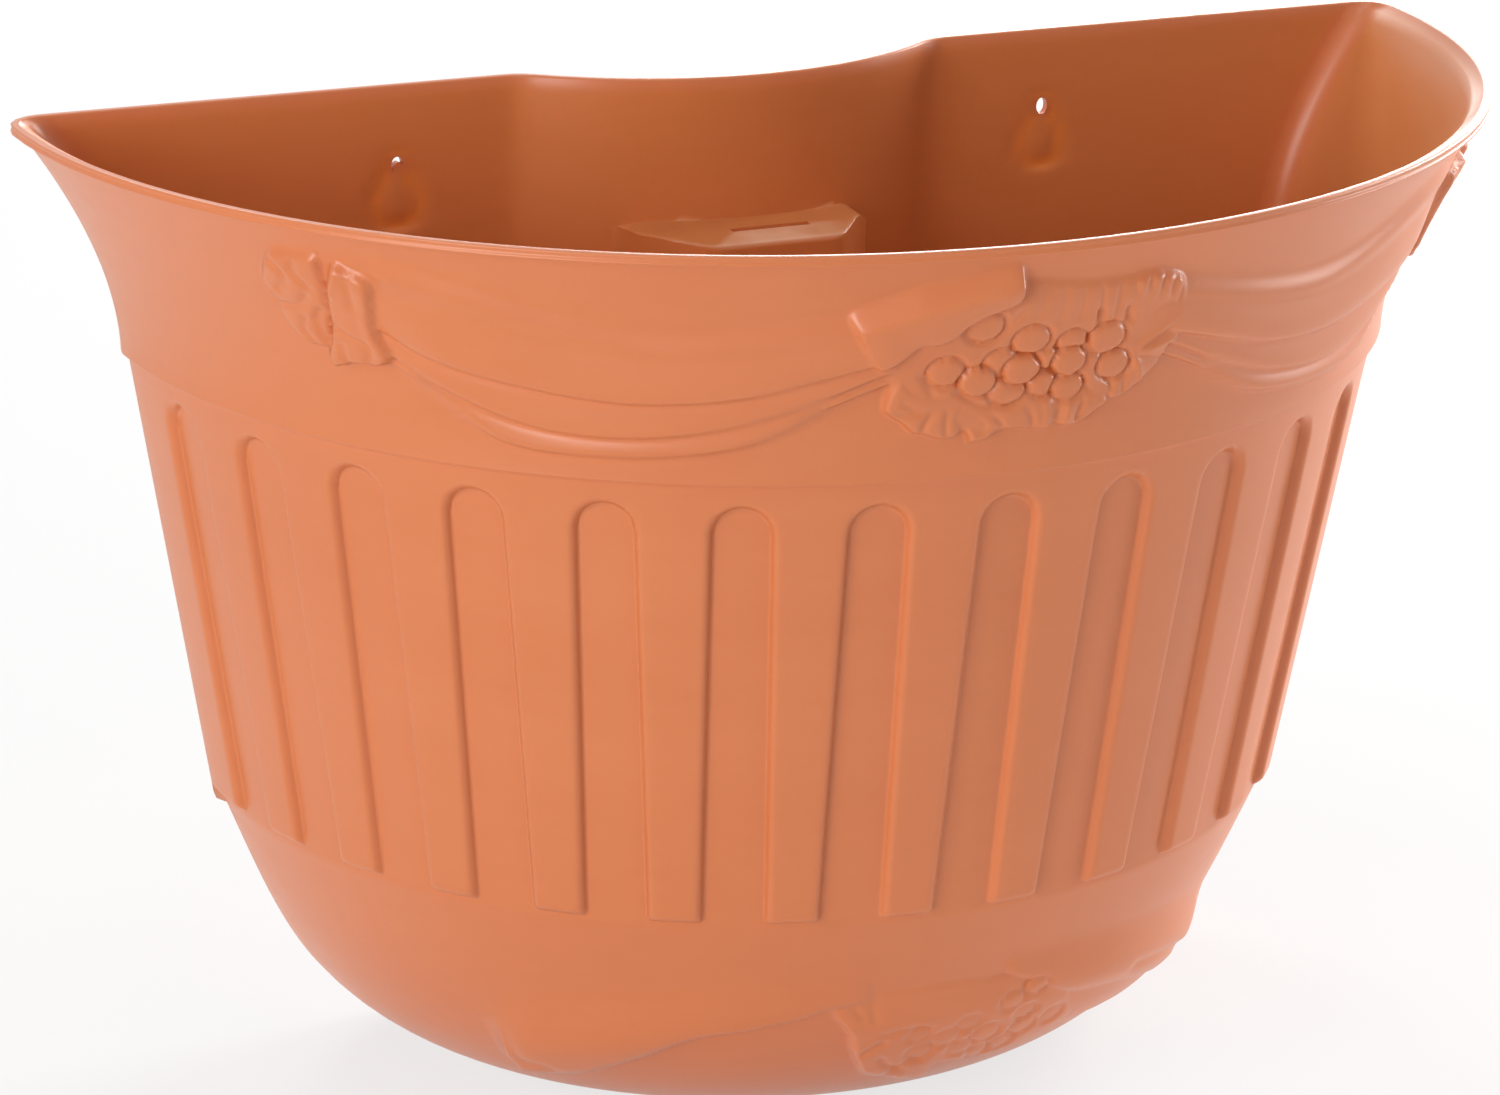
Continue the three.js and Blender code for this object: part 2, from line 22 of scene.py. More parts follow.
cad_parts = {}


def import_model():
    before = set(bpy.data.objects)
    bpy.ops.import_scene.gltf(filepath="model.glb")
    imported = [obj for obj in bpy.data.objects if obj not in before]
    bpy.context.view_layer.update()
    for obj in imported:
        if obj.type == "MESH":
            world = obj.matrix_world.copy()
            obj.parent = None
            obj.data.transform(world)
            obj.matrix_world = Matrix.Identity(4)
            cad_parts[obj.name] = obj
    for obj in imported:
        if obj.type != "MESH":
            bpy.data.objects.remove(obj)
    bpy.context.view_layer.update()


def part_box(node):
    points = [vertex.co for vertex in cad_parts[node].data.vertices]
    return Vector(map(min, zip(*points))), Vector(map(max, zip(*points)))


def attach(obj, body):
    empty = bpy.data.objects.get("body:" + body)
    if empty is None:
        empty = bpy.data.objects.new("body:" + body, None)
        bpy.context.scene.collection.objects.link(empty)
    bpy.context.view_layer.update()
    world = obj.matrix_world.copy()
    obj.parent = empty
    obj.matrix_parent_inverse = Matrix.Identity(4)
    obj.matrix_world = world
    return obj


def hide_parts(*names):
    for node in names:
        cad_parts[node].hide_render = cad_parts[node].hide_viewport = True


MM = 0.001
DEGREE = math.pi / 180
WHITE = (1.0, 1.0, 1.0, 1.0)
LOG = logging.getLogger("planter")
Point2 = tuple[float, float]


# -------------------- numbers
def linear(red: int, green: int, blue: int) -> tuple[float, float, float, float]:
    """Turns a screen colour into the linear colour that a shader takes.

    Args:
        red: Red part, 0 to 255.
        green: Green part, 0 to 255.
        blue: Blue part, 0 to 255.

    Returns:
        Linear red, green and blue, and an alpha of 1.
    """

    def one(value: int) -> float:
        """Linear value of one part."""
        share = value / 255
        return share / 12.92 if share <= 0.04045 else ((share + 0.055) / 1.055) ** 2.4

    return one(red), one(green), one(blue), 1.0


def ease(t: np.ndarray) -> np.ndarray:
    """Smooth step from 0 to 1."""
    t = np.clip(t, 0, 1)
    return t * t * (3 - 2 * t)


def swell(t: np.ndarray, power: float = 2.2) -> np.ndarray:
    """Rises steeply from 0 and rounds over into 1, as a moulded edge does."""
    return 1 - (1 - np.clip(t, 0, 1)) ** power


def soft_max(a: np.ndarray, b: np.ndarray, blend: float) -> np.ndarray:
    """Larger of two values with the corner between them rounded."""
    h = np.clip(blend - np.abs(a - b), 0, None) / blend
    return np.maximum(a, b) + h * h * blend / 4


def curve_through(points: Sequence[Point2], closed: bool, per: int = 5) -> np.ndarray:
    """Points along a smooth curve through the given ones.

    Args:
        points: Places that the curve goes through.
        closed: Whether the curve runs back to its start.
        per: New points for each stretch.

    Returns:
        An array of places, one row each.
    """
    p = np.asarray(points, float)
    if closed:
        before, after, last = np.roll(p, 1, 0), np.roll(p, -1, 0), np.roll(p, -2, 0)
    else:
        before = np.vstack([2 * p[0] - p[1], p[:-1]])[:-1]
        after = p[1:]
        last = np.vstack([p[2:], 2 * p[-1] - p[-2]])
        tail = p[-1:]
        p = p[:-1]
    t = (np.arange(per) / per)[None, :, None]
    a, b, c, d = before[:, None], p[:, None], after[:, None], last[:, None]
    made = 0.5 * (2 * b + (c - a) * t + (2 * a - 5 * b + 4 * c - d) * t**2 + (3 * b - a - 3 * c + d) * t**3)
    made = made.reshape(-1, 2)
    return made if closed else np.vstack([made, tail])


def line_distance(x: np.ndarray, y: np.ndarray, line: np.ndarray, closed: bool = False) -> np.ndarray:
    """Distance of each place from a line of straight stretches.

    Args:
        x: Places across.
        y: Places up or down.
        line: The line's corners, one row each.
        closed: Whether the line runs back to its start.

    Returns:
        Distances in the places' layout.
    """
    best = np.full(x.shape, 1e9)
    ends = np.roll(line, -1, 0) if closed else line[1:]
    for (ax, ay), (bx, by) in zip(line, ends):
        ex, ey = bx - ax, by - ay
        t = np.clip(((x - ax) * ex + (y - ay) * ey) / (ex * ex + ey * ey + 1e-12), 0, 1)
        best = np.minimum(best, np.hypot(x - ax - t * ex, y - ay - t * ey))
    return best


def depth_inside(x: np.ndarray, y: np.ndarray, loop: np.ndarray) -> np.ndarray:
    """Distance inside a closed outline.

    Args:
        x: Places across.
        y: Places up or down.
        loop: The outline's corners, one row each.

    Returns:
        Distances in the places' layout, negative outside.
    """
    inside = np.zeros(x.shape, bool)
    for (ax, ay), (bx, by) in zip(loop, np.roll(loop, -1, 0)):
        if ay != by:
            inside ^= ((ay > y) != (by > y)) & (x < (bx - ax) * (y - ay) / (by - ay) + ax)
    gap = line_distance(x, y, loop, closed=True)
    return np.where(inside, gap, -gap)


# -------------------- nodes
class Sheet:
    """A node tree and the one way that nodes are added to it."""

    def __init__(self, tree: bpy.types.NodeTree) -> None:
        """Keeps the tree that nodes go into."""
        self.tree = tree

    @classmethod
    def cleared(cls, holder: bpy.types.Material | bpy.types.World) -> Sheet:
        """Starts on the emptied node tree of a material or a world.

        Args:
            holder: What the tree belongs to.

        Returns:
            The sheet.
        """
        holder.use_nodes = True
        holder.node_tree.nodes.clear()
        return cls(holder.node_tree)

    def add(
        self,
        kind: str,
        settings: Mapping[str, object] | None = None,
        inputs: Mapping[int | str, object] | None = None,
    ) -> bpy.types.Node:
        """Adds one node.

        Args:
            kind: The node's type.
            settings: Its own settings, set first; "stops" are a colour ramp's stops.
            inputs: Values or links for its input sockets, by name or number.

        Returns:
            The node.
        """
        node = self.tree.nodes.new(kind)
        for name, value in (settings or {}).items():
            if name == "stops":
                ramp = node.color_ramp.elements
                while len(ramp) < len(value):
                    ramp.new(0.5)
                for stop, (place, colour) in zip(ramp, value):
                    stop.position, stop.color = place, colour
            else:
                setattr(node, name, value)
        for key, value in (inputs or {}).items():
            if isinstance(value, Value):
                value = value.socket
            if isinstance(value, bpy.types.NodeSocket):
                self.tree.links.new(value, node.inputs[key])
            else:
                node.inputs[key].default_value = value
        return node

    def maths(self, operation: str, *values: object) -> Value:
        """Adds a Math node on up to three values and returns what it gives."""
        node = self.add("ShaderNodeMath", {"operation": operation}, dict(enumerate(values)))
        return Value(self, node.outputs[0])

    def value(self, node: bpy.types.Node, output: int | str = 0) -> Value:
        """Wraps one output of a node for use in expressions."""
        return Value(self, node.outputs[output])

    def seen(self) -> Value:
        """Tells rays that are seen from those that only light.

        Returns:
            1 for rays from the camera, also by way of a reflection or through glass, 0 for all others.
        """
        path = self.add("ShaderNodeLightPath")
        kinds = ("Camera", "Glossy", "Transmission")
        camera, glossy, through = (self.value(path, f"Is {kind} Ray") for kind in kinds)
        return camera.at_least(glossy).at_least(through)


def operator(operation: str, swapped: bool = False) -> Callable[[Value, object], Value]:
    """Makes a method of Value from a Math operation on two numbers.

    Args:
        operation: The operation.
        swapped: Whether the value comes second.

    Returns:
        The method.
    """

    def apply(self: Value, other: object) -> Value:
        """The operation on this value and another."""
        return self.sheet.maths(operation, *((other, self) if swapped else (self, other)))

    return apply


class Value:
    """A number socket that takes part in Python expressions."""

    def __init__(self, sheet: Sheet, socket: bpy.types.NodeSocket) -> None:
        """Keeps the socket and the sheet that new nodes go into."""
        self.sheet = sheet
        self.socket = socket

    __add__ = __radd__ = operator("ADD")
    __sub__, __rsub__ = operator("SUBTRACT"), operator("SUBTRACT", swapped=True)
    __mul__ = __rmul__ = operator("MULTIPLY")
    __truediv__, __pow__ = operator("DIVIDE"), operator("POWER")
    at_least, at_most = operator("MAXIMUM"), operator("MINIMUM")

    def clamp(self) -> Value:
        """Held between 0 and 1."""
        return self.at_most(1.0).at_least(0.0)

    def act(self, operation: str, *others: object) -> Value:
        """Any other Math operation, with this value first."""
        return self.sheet.maths(operation, self, *others)


def form_sheet(name: str, sizes: Mapping[str, str]) -> tuple[Sheet, bpy.types.Node]:
    """Starts a geometry tree.

    Args:
        name: Name of the tree.
        sizes: Names and kinds of its inputs between the geometry and the finish.

    Returns:
        A sheet for its nodes, and the node that holds its inputs.
    """
    tree = bpy.data.node_groups.new(name, "GeometryNodeTree")
    for key, kind in {"Geometry": "Geometry", **sizes, "Finish": "Material"}.items():
        tree.interface.new_socket(key, in_out="INPUT", socket_type=f"NodeSocket{kind}")
    tree.interface.new_socket("Geometry", in_out="OUTPUT", socket_type="NodeSocketGeometry")
    sheet = Sheet(tree)
    return sheet, sheet.add("NodeGroupInput")


def close_sheet(sheet: Sheet, given: bpy.types.Node, form: bpy.types.NodeSocket) -> bpy.types.NodeTree:
    """Ends a geometry tree: makes its instances real and puts the finish on.

    Args:
        sheet: Sheet of the tree.
        given: Node that holds the tree's inputs.
        form: The geometry so far.

    Returns:
        The tree.
    """
    real = sheet.add("GeometryNodeRealizeInstances", inputs={0: form}).outputs[0]
    inputs = {"Geometry": real, "Material": given.outputs["Finish"]}
    dressed = sheet.add("GeometryNodeSetMaterial", inputs=inputs).outputs[0]
    sheet.add("NodeGroupOutput", inputs={0: dressed})
    return sheet.tree


def linked(name: str, data: bpy.types.ID) -> bpy.types.Object:
    """Makes an object and links it to the scene.

    Args:
        name: Name of the object.
        data: Its mesh, lamp or camera.

    Returns:
        The object.
    """
    made = bpy.data.objects.new(name, data)
    bpy.context.scene.collection.objects.link(made)
    return made


def evaluated(
    name: str,
    source: bpy.types.Object,
    tree: bpy.types.NodeTree,
    settings: Mapping[str, object],
) -> bpy.types.Object:
    """Runs a geometry tree on an object and keeps the result as a plain mesh.

    Args:
        name: Name of the object that is made.
        source: Object that the tree starts from; it is removed.
        tree: The geometry tree.
        settings: Values of the tree's inputs, by name.

    Returns:
        A mesh object at the origin with no modifier.
    """
    modifier = source.modifiers.new("form", "NODES")
    modifier.node_group = tree
    known = {item.name: item.identifier for item in tree.interface.items_tree if item.in_out == "INPUT"}
    for key, value in settings.items():
        modifier[known[key]] = value
    graph = bpy.context.evaluated_depsgraph_get()
    graph.update()
    mesh = bpy.data.meshes.new_from_object(source.evaluated_get(graph), depsgraph=graph)
    mesh.name = name
    old = source.data
    source.modifiers.remove(modifier)
    bpy.data.objects.remove(source)
    bpy.data.meshes.remove(old)
    return linked(name, mesh)


# -------------------- finishes
class Slot(Enum):
    """Names of the shell's and the bungs' materials."""

    SHELL = "terracotta_plastic"
    BUNG = "bung_plastic"


@dataclass(frozen=True)
class MouldedPlastic:
    """Satin moulded plastic with faint mottling and flow streaks, a painted glow on its thin band, a painted
    tint of bounced light inside, and a pale band of rubbing with a painted highlight.
    """

    name: str
    colour: tuple[float, float, float, float]
    warm: tuple[float, float, float, float]
    # colour of the thin band round the hang holes: a painted glow of light shining through the thin plastic
    thin: tuple[float, float, float, float]
    # colour of the pale band on the pocket's roof: rubbing with a painted highlight
    rubbed_and_highlight: tuple[float, float, float, float] = linear(232, 178, 146)
    # painted tint of light bounced between the orange inner walls
    inner_bounce_tint: tuple[float, float, float, float] = (1.0, 1.12, 1.0, 1.0)
    roughness: float = 0.34
    mottle: float = 0.5
    grain: float = 0.00003

    def material(self) -> bpy.types.Material:
        """Builds the material.

        Returns:
            The material, which reads the mesh's marks for the thin band's painted glow, the painted tint of
            bounced light inside, and the pale band's rubbing with its painted highlight.
        """
        made = bpy.data.materials.new(self.name)
        sheet = Sheet.cleared(made)
        place = sheet.add("ShaderNodeTexCoord").outputs["Object"]
        wide = sheet.add("ShaderNodeMapping", inputs={"Vector": place, "Scale": (1.0, 1.0, 3.2)}).outputs[0]

        def noise(vector: bpy.types.NodeSocket, scale: float, detail: float) -> Value:
            """Noise at a scale, with some detail."""
            inputs = {"Vector": vector, "Scale": scale, "Detail": detail, "Roughness": 0.6}
            return sheet.value(sheet.add("ShaderNodeTexNoise", {"noise_dimensions": "3D"}, inputs))

        def mark(name: str) -> Value:
            """Value of one of the mesh's marks."""
            return sheet.value(sheet.add("ShaderNodeAttribute", {"attribute_name": name}), "Fac")

        def mixed(share: Value, below: object, above: object, blend: str = "MIX") -> bpy.types.NodeSocket:
            """Colour below with a share of the one above."""
            settings = {"data_type": "RGBA", "blend_type": blend}
            return sheet.add("ShaderNodeMix", settings, {0: share, 6: below, 7: above}).outputs[2]

        cloud, streak, fleck = noise(wide, 9.0, 4.0), noise(wide, 60.0, 3.0), noise(place, 700.0, 2.0)
        shade = ((cloud - 0.5) * 1.5 + (streak - 0.5) * 0.8 + (fleck - 0.5) * 0.25) * self.mottle + 0.5
        tone = mixed(shade.clamp(), self.colour, self.warm)
        # painted glow where the band round the hang holes is thin
        tone = mixed(mark("thin"), tone, self.thin)
        # inside faces get a painted tint of light bounced off the orange walls
        tone = mixed(mark("inside"), tone, self.inner_bounce_tint, "MULTIPLY")
        # pale band on the pocket's roof: rubbing, with a painted highlight where its front edge catches the
        # light
        tone = mixed(mark("scuff") * ((streak - 0.5) * 1.6 + 0.75).clamp(), tone, self.rubbed_and_highlight)
        bump = sheet.add(
            "ShaderNodeBump",
            inputs={"Strength": 0.35, "Distance": self.grain, "Height": fleck * 0.7 + streak * 0.9},
        ).outputs[0]
        shader = sheet.add(
            "ShaderNodeBsdfPrincipled",
            inputs={
                "Base Color": tone,
                "Roughness": (streak - 0.5) * 0.1 + (cloud - 0.5) * 0.08 + self.roughness,
                "Normal": bump,
                "IOR": 1.5,
            },
        )
        sheet.add("ShaderNodeOutputMaterial", inputs={"Surface": shader.outputs[0]})
        return made


@dataclass(frozen=True)
class PaleGround:
    """White floor that shows white to the camera and still takes the object's shadow."""

    colour: tuple[float, float, float, float] = (0.86, 0.86, 0.86, 1.0)
    glow: float = 0.93
    glow_share: float = 0.8

    def material(self) -> bpy.types.Material:
        """Builds the material.

        Returns:
            The material.
        """
        made = bpy.data.materials.new("pale_ground")
        sheet = Sheet.cleared(made)
        plain = sheet.add("ShaderNodeBsdfDiffuse", inputs={"Color": self.colour}).outputs[0]
        lit = sheet.add("ShaderNodeEmission", inputs={"Color": WHITE, "Strength": self.glow}).outputs[0]
        both = sheet.add("ShaderNodeMixShader", inputs={0: sheet.seen() * self.glow_share, 1: plain, 2: lit})
        sheet.add("ShaderNodeOutputMaterial", inputs={"Surface": both.outputs[0]})
        return made


# -------------------- form of the moulding
@dataclass(frozen=True)
class ShellForm:
    """Sizes and outlines of the moulding, the same as the solid's."""

    rim_width: float = 400.0
    rim_depth: float = 204.0
    height: float = 260.0
    wall: float = 2.5
    lip_out: float = 0.8
    step_in: float = 1.8
    groove_depth: float = 2.4
    flare_power: float = 1.75
    bowl_taper: float = 0.2
    bowl_round: float = 0.22
    foot_ring: float = 3.0
    foot_ring_width: float = 7.0
    corner: float = 10.0
    channel_depth: float = 0.108 * 204
    channel_half: float = 0.2925 * 200
    channel_blend: float = 4.0
    side_gap: float = 4.0

    @property
    def rim_z(self) -> float:
        """Height of the rim's top."""
        return 0.083 * self.height

    @property
    def step_z(self) -> float:
        """Height of the collar's foot."""
        return self.rim_z - 0.242 * self.height

    @property
    def end_z(self) -> float:
        """Height where the fluted body turns into the bowl."""
        return self.rim_z - 0.723 * self.height

    @property
    def tongue_z(self) -> float:
        """Height of the tongues' lower ends."""
        return self.end_z + 1.5

    @property
    def foot_z(self) -> float:
        """Height of the foot."""
        return self.rim_z - self.height

    @property
    def floor_z(self) -> float:
        """Height of the floor inside."""
        return self.foot_z + self.foot_ring + self.wall

    @property
    def collar(self) -> tuple[float, float]:
        """Half width and depth at the collar's foot."""
        return 0.8615 * self.rim_width / 2, 0.9 * self.rim_depth

    @property
    def body(self) -> tuple[float, float]:
        """Half width and depth where the tongues end."""
        return 0.7465 * self.rim_width / 2, 0.78 * self.rim_depth

    def flare(self, z: np.ndarray) -> tuple[np.ndarray, np.ndarray]:
        """Outer half width and depth of the collar.

        Args:
            z: Heights.

        Returns:
            Half width and depth at each height.
        """
        rise = np.clip((z - self.step_z) / (self.rim_z - self.step_z), 0, 1) ** self.flare_power
        half, depth = self.collar
        return (
            half + (self.rim_width / 2 - self.lip_out - half) * rise,
            depth + (self.rim_depth - self.lip_out - depth) * rise,
        )

    def tongues(self, z: np.ndarray) -> tuple[np.ndarray, np.ndarray]:
        """Outer half width and depth on the tongues, carried on below them a groove's depth off the bowl.

        Args:
            z: Heights.

        Returns:
            Half width and depth at each height.
        """
        fall = np.clip((self.step_z - z) / (self.step_z - self.end_z), 0, 1)
        half, depth = (size - self.step_in for size in self.collar)
        bowl = self.bowl(z)
        low = z < self.end_z
        return (
            np.where(low, bowl[0] + self.groove_depth, half + (self.body[0] - half) * fall),
            np.where(low, bowl[1] + self.groove_depth, depth + (self.body[1] - depth) * fall),
        )

    def bowl(self, z: np.ndarray) -> tuple[np.ndarray, np.ndarray]:
        """Outer half width and depth of the bowl.

        Args:
            z: Heights.

        Returns:
            Half width and depth at each height.
        """
        down = np.clip((self.end_z - z) / (self.end_z - self.foot_z), 0, 1)
        share = 1 - self.bowl_taper * down - self.bowl_round * (1 - np.sqrt(1 - down**4))
        return (self.body[0] - self.groove_depth) * share, (self.body[1] - self.groove_depth) * share

    def core(self, z: np.ndarray) -> tuple[np.ndarray, np.ndarray]:
        """Outer half width and depth of collar, groove floors and bowl.

        Args:
            z: Heights.

        Returns:
            Half width and depth at each height.
        """
        collar, flutes, bowl = self.flare(z), self.tongues(z), self.bowl(z)
        pick = [z >= self.step_z, z >= self.end_z]
        return (
            np.select(pick, [collar[0], flutes[0] - self.groove_depth], bowl[0]),
            np.select(pick, [collar[1], flutes[1] - self.groove_depth], bowl[1]),
        )

    def back(self, x: np.ndarray, inset: float | np.ndarray) -> np.ndarray:
        """How far the back wall stands off the wall plane, with the pipe channel in its middle.

        Args:
            x: Places across.
            inset: How far the face lies inside the outer one.

        Returns:
            Distance from the wall plane at each place.
        """
        radius = (self.channel_half**2 + self.channel_depth**2) / (2 * self.channel_depth)
        arc = np.sqrt(np.clip((radius + inset) ** 2 - x * x, 0, None)) - (radius - self.channel_depth)
        return soft_max(inset + 0 * arc, arc, self.channel_blend)


class Moulding:
    """Vertices and faces of one closed body, gathered patch by patch."""

    FLUTE_MARKS = ("turn", "level", "pace", "fluted")
    # the last three marks carry a painted glow on the thin band, a painted tint of bounced light inside, and
    # the pale band's rubbing with a painted highlight
    MARKS = (*FLUTE_MARKS, "thin", "inside", "scuff")

    def __init__(self) -> None:
        """Starts empty."""
        self.points: list[np.ndarray] = []
        self.marks: dict[str, list[np.ndarray]] = {name: [] for name in self.MARKS}
        self.faces: list[np.ndarray] = []
        self.count = 0

    def add(self, points: np.ndarray, **marks: np.ndarray) -> np.ndarray:
        """Adds points.

        Args:
            points: Array of places, last axis x, y, z.
            marks: Values of named attributes, one for each place.

        Returns:
            The points' numbers in the same layout.
        """
        layout = points.shape[:-1]
        size = int(np.prod(layout))
        self.points.append(points.reshape(-1, 3))
        for name in self.MARKS:
            given = np.broadcast_to(np.asarray(marks.get(name, 0.0), float), layout)
            self.marks[name].append(given.reshape(-1))
        numbers = np.arange(self.count, self.count + size).reshape(layout)
        self.count += size
        return numbers

    def at(self, numbers: np.ndarray) -> np.ndarray:
        """Places of points that were added."""
        return np.concatenate(self.points)[numbers]

    def quads(self, grid: np.ndarray, skip: np.ndarray | None = None) -> None:
        """Joins a grid of points with four-sided faces.

        Args:
            grid: Numbers of the points, row by row.
            skip: True for each cell that stays open.
        """
        cells = np.stack([grid[:-1, :-1], grid[:-1, 1:], grid[1:, 1:], grid[1:, :-1]], -1)
        cells = cells.reshape(-1, 4) if skip is None else cells[~skip]
        self.faces.append(cells)

    def rings(self, rings: Sequence[np.ndarray]) -> None:
        """Joins closed rings of equal counts, each to the next."""
        grid = np.stack(rings)
        self.quads(np.concatenate([grid, grid[:, :1]], 1))

    def stitch(self, a: np.ndarray, at: np.ndarray, b: np.ndarray, bt: np.ndarray) -> None:
        """Joins two rows of unequal counts with triangles.

        Args:
            a: Numbers of the first row's points.
            at: Their places along the row, rising.
            b: Numbers of the second row's points.
            bt: Their places along the row, rising.
        """
        made, i, j = [], 0, 0
        while i < len(a) - 1 or j < len(b) - 1:
            if j == len(b) - 1 or (i < len(a) - 1 and at[i + 1] <= bt[j + 1]):
                made.append((a[i], a[i + 1], b[j]))
                i += 1
            else:
                made.append((a[i], b[j + 1], b[j]))
                j += 1
        self.faces.append(np.array(made))

    def fill(self, loop: np.ndarray, holes: Sequence[np.ndarray], axes: tuple[int, int]) -> None:
        """Fills a flat region between an outer loop and holes in it.

        Args:
            loop: Numbers of the outer loop's points, in order.
            holes: Numbers of each hole's points, in order.
            axes: The two axes of the plane that the region lies in.
        """
        rings = [loop, *holes]
        numbers = np.concatenate(rings)
        flat = self.at(numbers)[:, axes]
        out = flat - flat[: len(loop)].mean(0)
        far = (out**2).sum(1, keepdims=True)
        # bulged a little, so that straight sides are strictly convex
        flat = out * (1.01 - 0.01 * far / far.max())
        edges, spans, start = [], [], 0
        for ring in rings:
            size = len(ring)
            edges += [(start + k, start + (k + 1) % size) for k in range(size)]
            spans.append(slice(start, start + size))
            start += size
        within_loop, margin = 1, 1e-6
        made = delaunay_2d_cdt([Vector(p) for p in flat], edges, [], within_loop, margin)[2]
        tris = np.array(made)
        x, y = flat[tris].mean(1).T
        keep = np.ones(len(tris), bool)
        for span in spans[1:]:
            keep &= depth_inside(x, y, flat[span]) < 0
        self.faces.append(numbers[tris[keep]])

    def mesh(self, name: str, sharp: float) -> bpy.types.Mesh:
        """Makes the mesh, in metres, with its faces outwards.

        Args:
            name: Name of the mesh.
            sharp: Angle in degrees above which an edge shades sharp.

        Returns:
            The mesh.
        """
        mesh = bpy.data.meshes.new(name)
        faces = [f for patch in self.faces for f in patch.tolist()]
        mesh.from_pydata((np.concatenate(self.points) * MM).tolist(), [], faces)
        for key, parts in self.marks.items():
            mark = mesh.attributes.new(key, "FLOAT", "POINT")
            mark.data.foreach_set("value", np.concatenate(parts).astype(np.float32))
        work = bmesh.new()
        work.from_mesh(mesh)
        bmesh.ops.recalc_face_normals(work, faces=work.faces)
        open_edges = sum(1 for e in work.edges if not e.is_manifold)
        if open_edges:
            LOG.warning("%s has %d open edges", name, open_edges)
        work.to_mesh(mesh)
        work.free()
        mesh.shade_smooth()
        mesh.set_sharp_from_angle(angle=math.radians(sharp))
        return mesh


# -------------------- ornament in low relief
@dataclass(frozen=True)
class Plane:
    """Turns an angle in degrees and a depth below the rim into millimetres along the surface."""

    wide: float
    tall: float

    def lay(self, points: Sequence[Point2]) -> np.ndarray:
        """Places of points given as angle and depth."""
        return np.asarray(points, float) * (self.wide, self.tall)


@dataclass(frozen=True)
class Fruit:
    """A round fruit that is partly sunk in its cluster."""

    angle: float
    depth: float
    radius: float = 4.7
    level: float = 2.1
    crown: float = 0.9
    furrow: float = 1.35

    def near(self, x: np.ndarray, y: np.ndarray, plane: Plane) -> np.ndarray:
        """Distance from the middle as a share of the radius."""
        return np.hypot(x - self.angle * plane.wide, (y - self.depth * plane.tall) * 1.12) / self.radius

    def dome(self, near: np.ndarray) -> np.ndarray:
        """Height of the fruit itself, nothing outside it."""
        full = self.level + self.crown * np.sqrt(np.clip(1 - near * near, 0, 1)) ** 0.8
        return np.where(near < 1, full, 0.0)

    def ring(self, near: np.ndarray) -> np.ndarray:
        """Depth of the furrow round the fruit."""
        return self.furrow * np.exp(-(((near - 1.06) * self.radius / 0.6) ** 2)) * (near >= 1)


def lay_fruits(
    tall: np.ndarray, fruits: Sequence[Fruit], x: np.ndarray, y: np.ndarray, plane: Plane
) -> np.ndarray:
    """Lays fruits on a surface, with a furrow round each.

    Args:
        tall: Heights before the fruits.
        fruits: The fruits, later ones over earlier ones.
        x: Places across.
        y: Places down.
        plane: Turns the fruits' angles and depths into places.

    Returns:
        Heights with the fruits.
    """
    ground = tall.copy()
    for fruit in fruits:
        near = fruit.near(x, y, plane)
        ground = np.where(ground > 0.4, np.clip(ground - fruit.ring(near), 0.3, None), ground)
        ground = np.where(near < 1, fruit.dome(near), ground)
    return ground


@dataclass(frozen=True)
class Crease:
    """A narrow furrow, or a ridge where its depth is negative."""

    line: tuple[Point2, ...]
    depth: float = 0.9
    half: float = 0.8

    def cut(self, x: np.ndarray, y: np.ndarray, plane: Plane) -> np.ndarray:
        """How far the surface goes down along the line.

        Args:
            x: Places across.
            y: Places down.
            plane: Turns angles and depths into places.

        Returns:
            Depths in the places' layout.
        """
        path = plane.lay(self.line)
        if len(self.line) > 2:
            path = curve_through(path, closed=False)
        return self.depth * np.exp(-((line_distance(x, y, path) / self.half) ** 2))


@dataclass(frozen=True)
class Leaf:
    """A flat raised shape with a crisp edge, a crown and veins."""

    outline: tuple[Point2, ...]
    level: float = 2.4
    crown: float = 0.8
    edge: float = 1.0
    veins: tuple[Crease, ...] = ()
    fade: tuple[Point2, ...] = ()
    fade_over: float = 5.0

    def height(self, x: np.ndarray, y: np.ndarray, plane: Plane) -> np.ndarray:
        """Height over the surface, nothing outside the shape.

        Args:
            x: Places across.
            y: Places down.
            plane: Turns angles and depths into places.

        Returns:
            Heights in the places' layout.
        """
        inside = depth_inside(x, y, curve_through(plane.lay(self.outline), closed=True))
        crown = self.crown * (1 - np.exp(-np.clip(inside, 0, None) / 4))
        made = swell(inside / self.edge) * (self.level + crown)
        for vein in self.veins:
            made = made - vein.cut(x, y, plane) * ease(inside / 1.5)
        if self.fade:
            path = plane.lay(self.fade)
            path = path[np.argsort(path[:, 0])]
            made = made * ease((y - np.interp(x, path[:, 0], path[:, 1])) / self.fade_over)
        return np.clip(made, 0, None)


@dataclass(frozen=True)
class Drape:
    """One fold of a swag: it swells from one height to another, down to a rounded edge."""

    edge: tuple[Point2, ...]
    start: float
    full: float


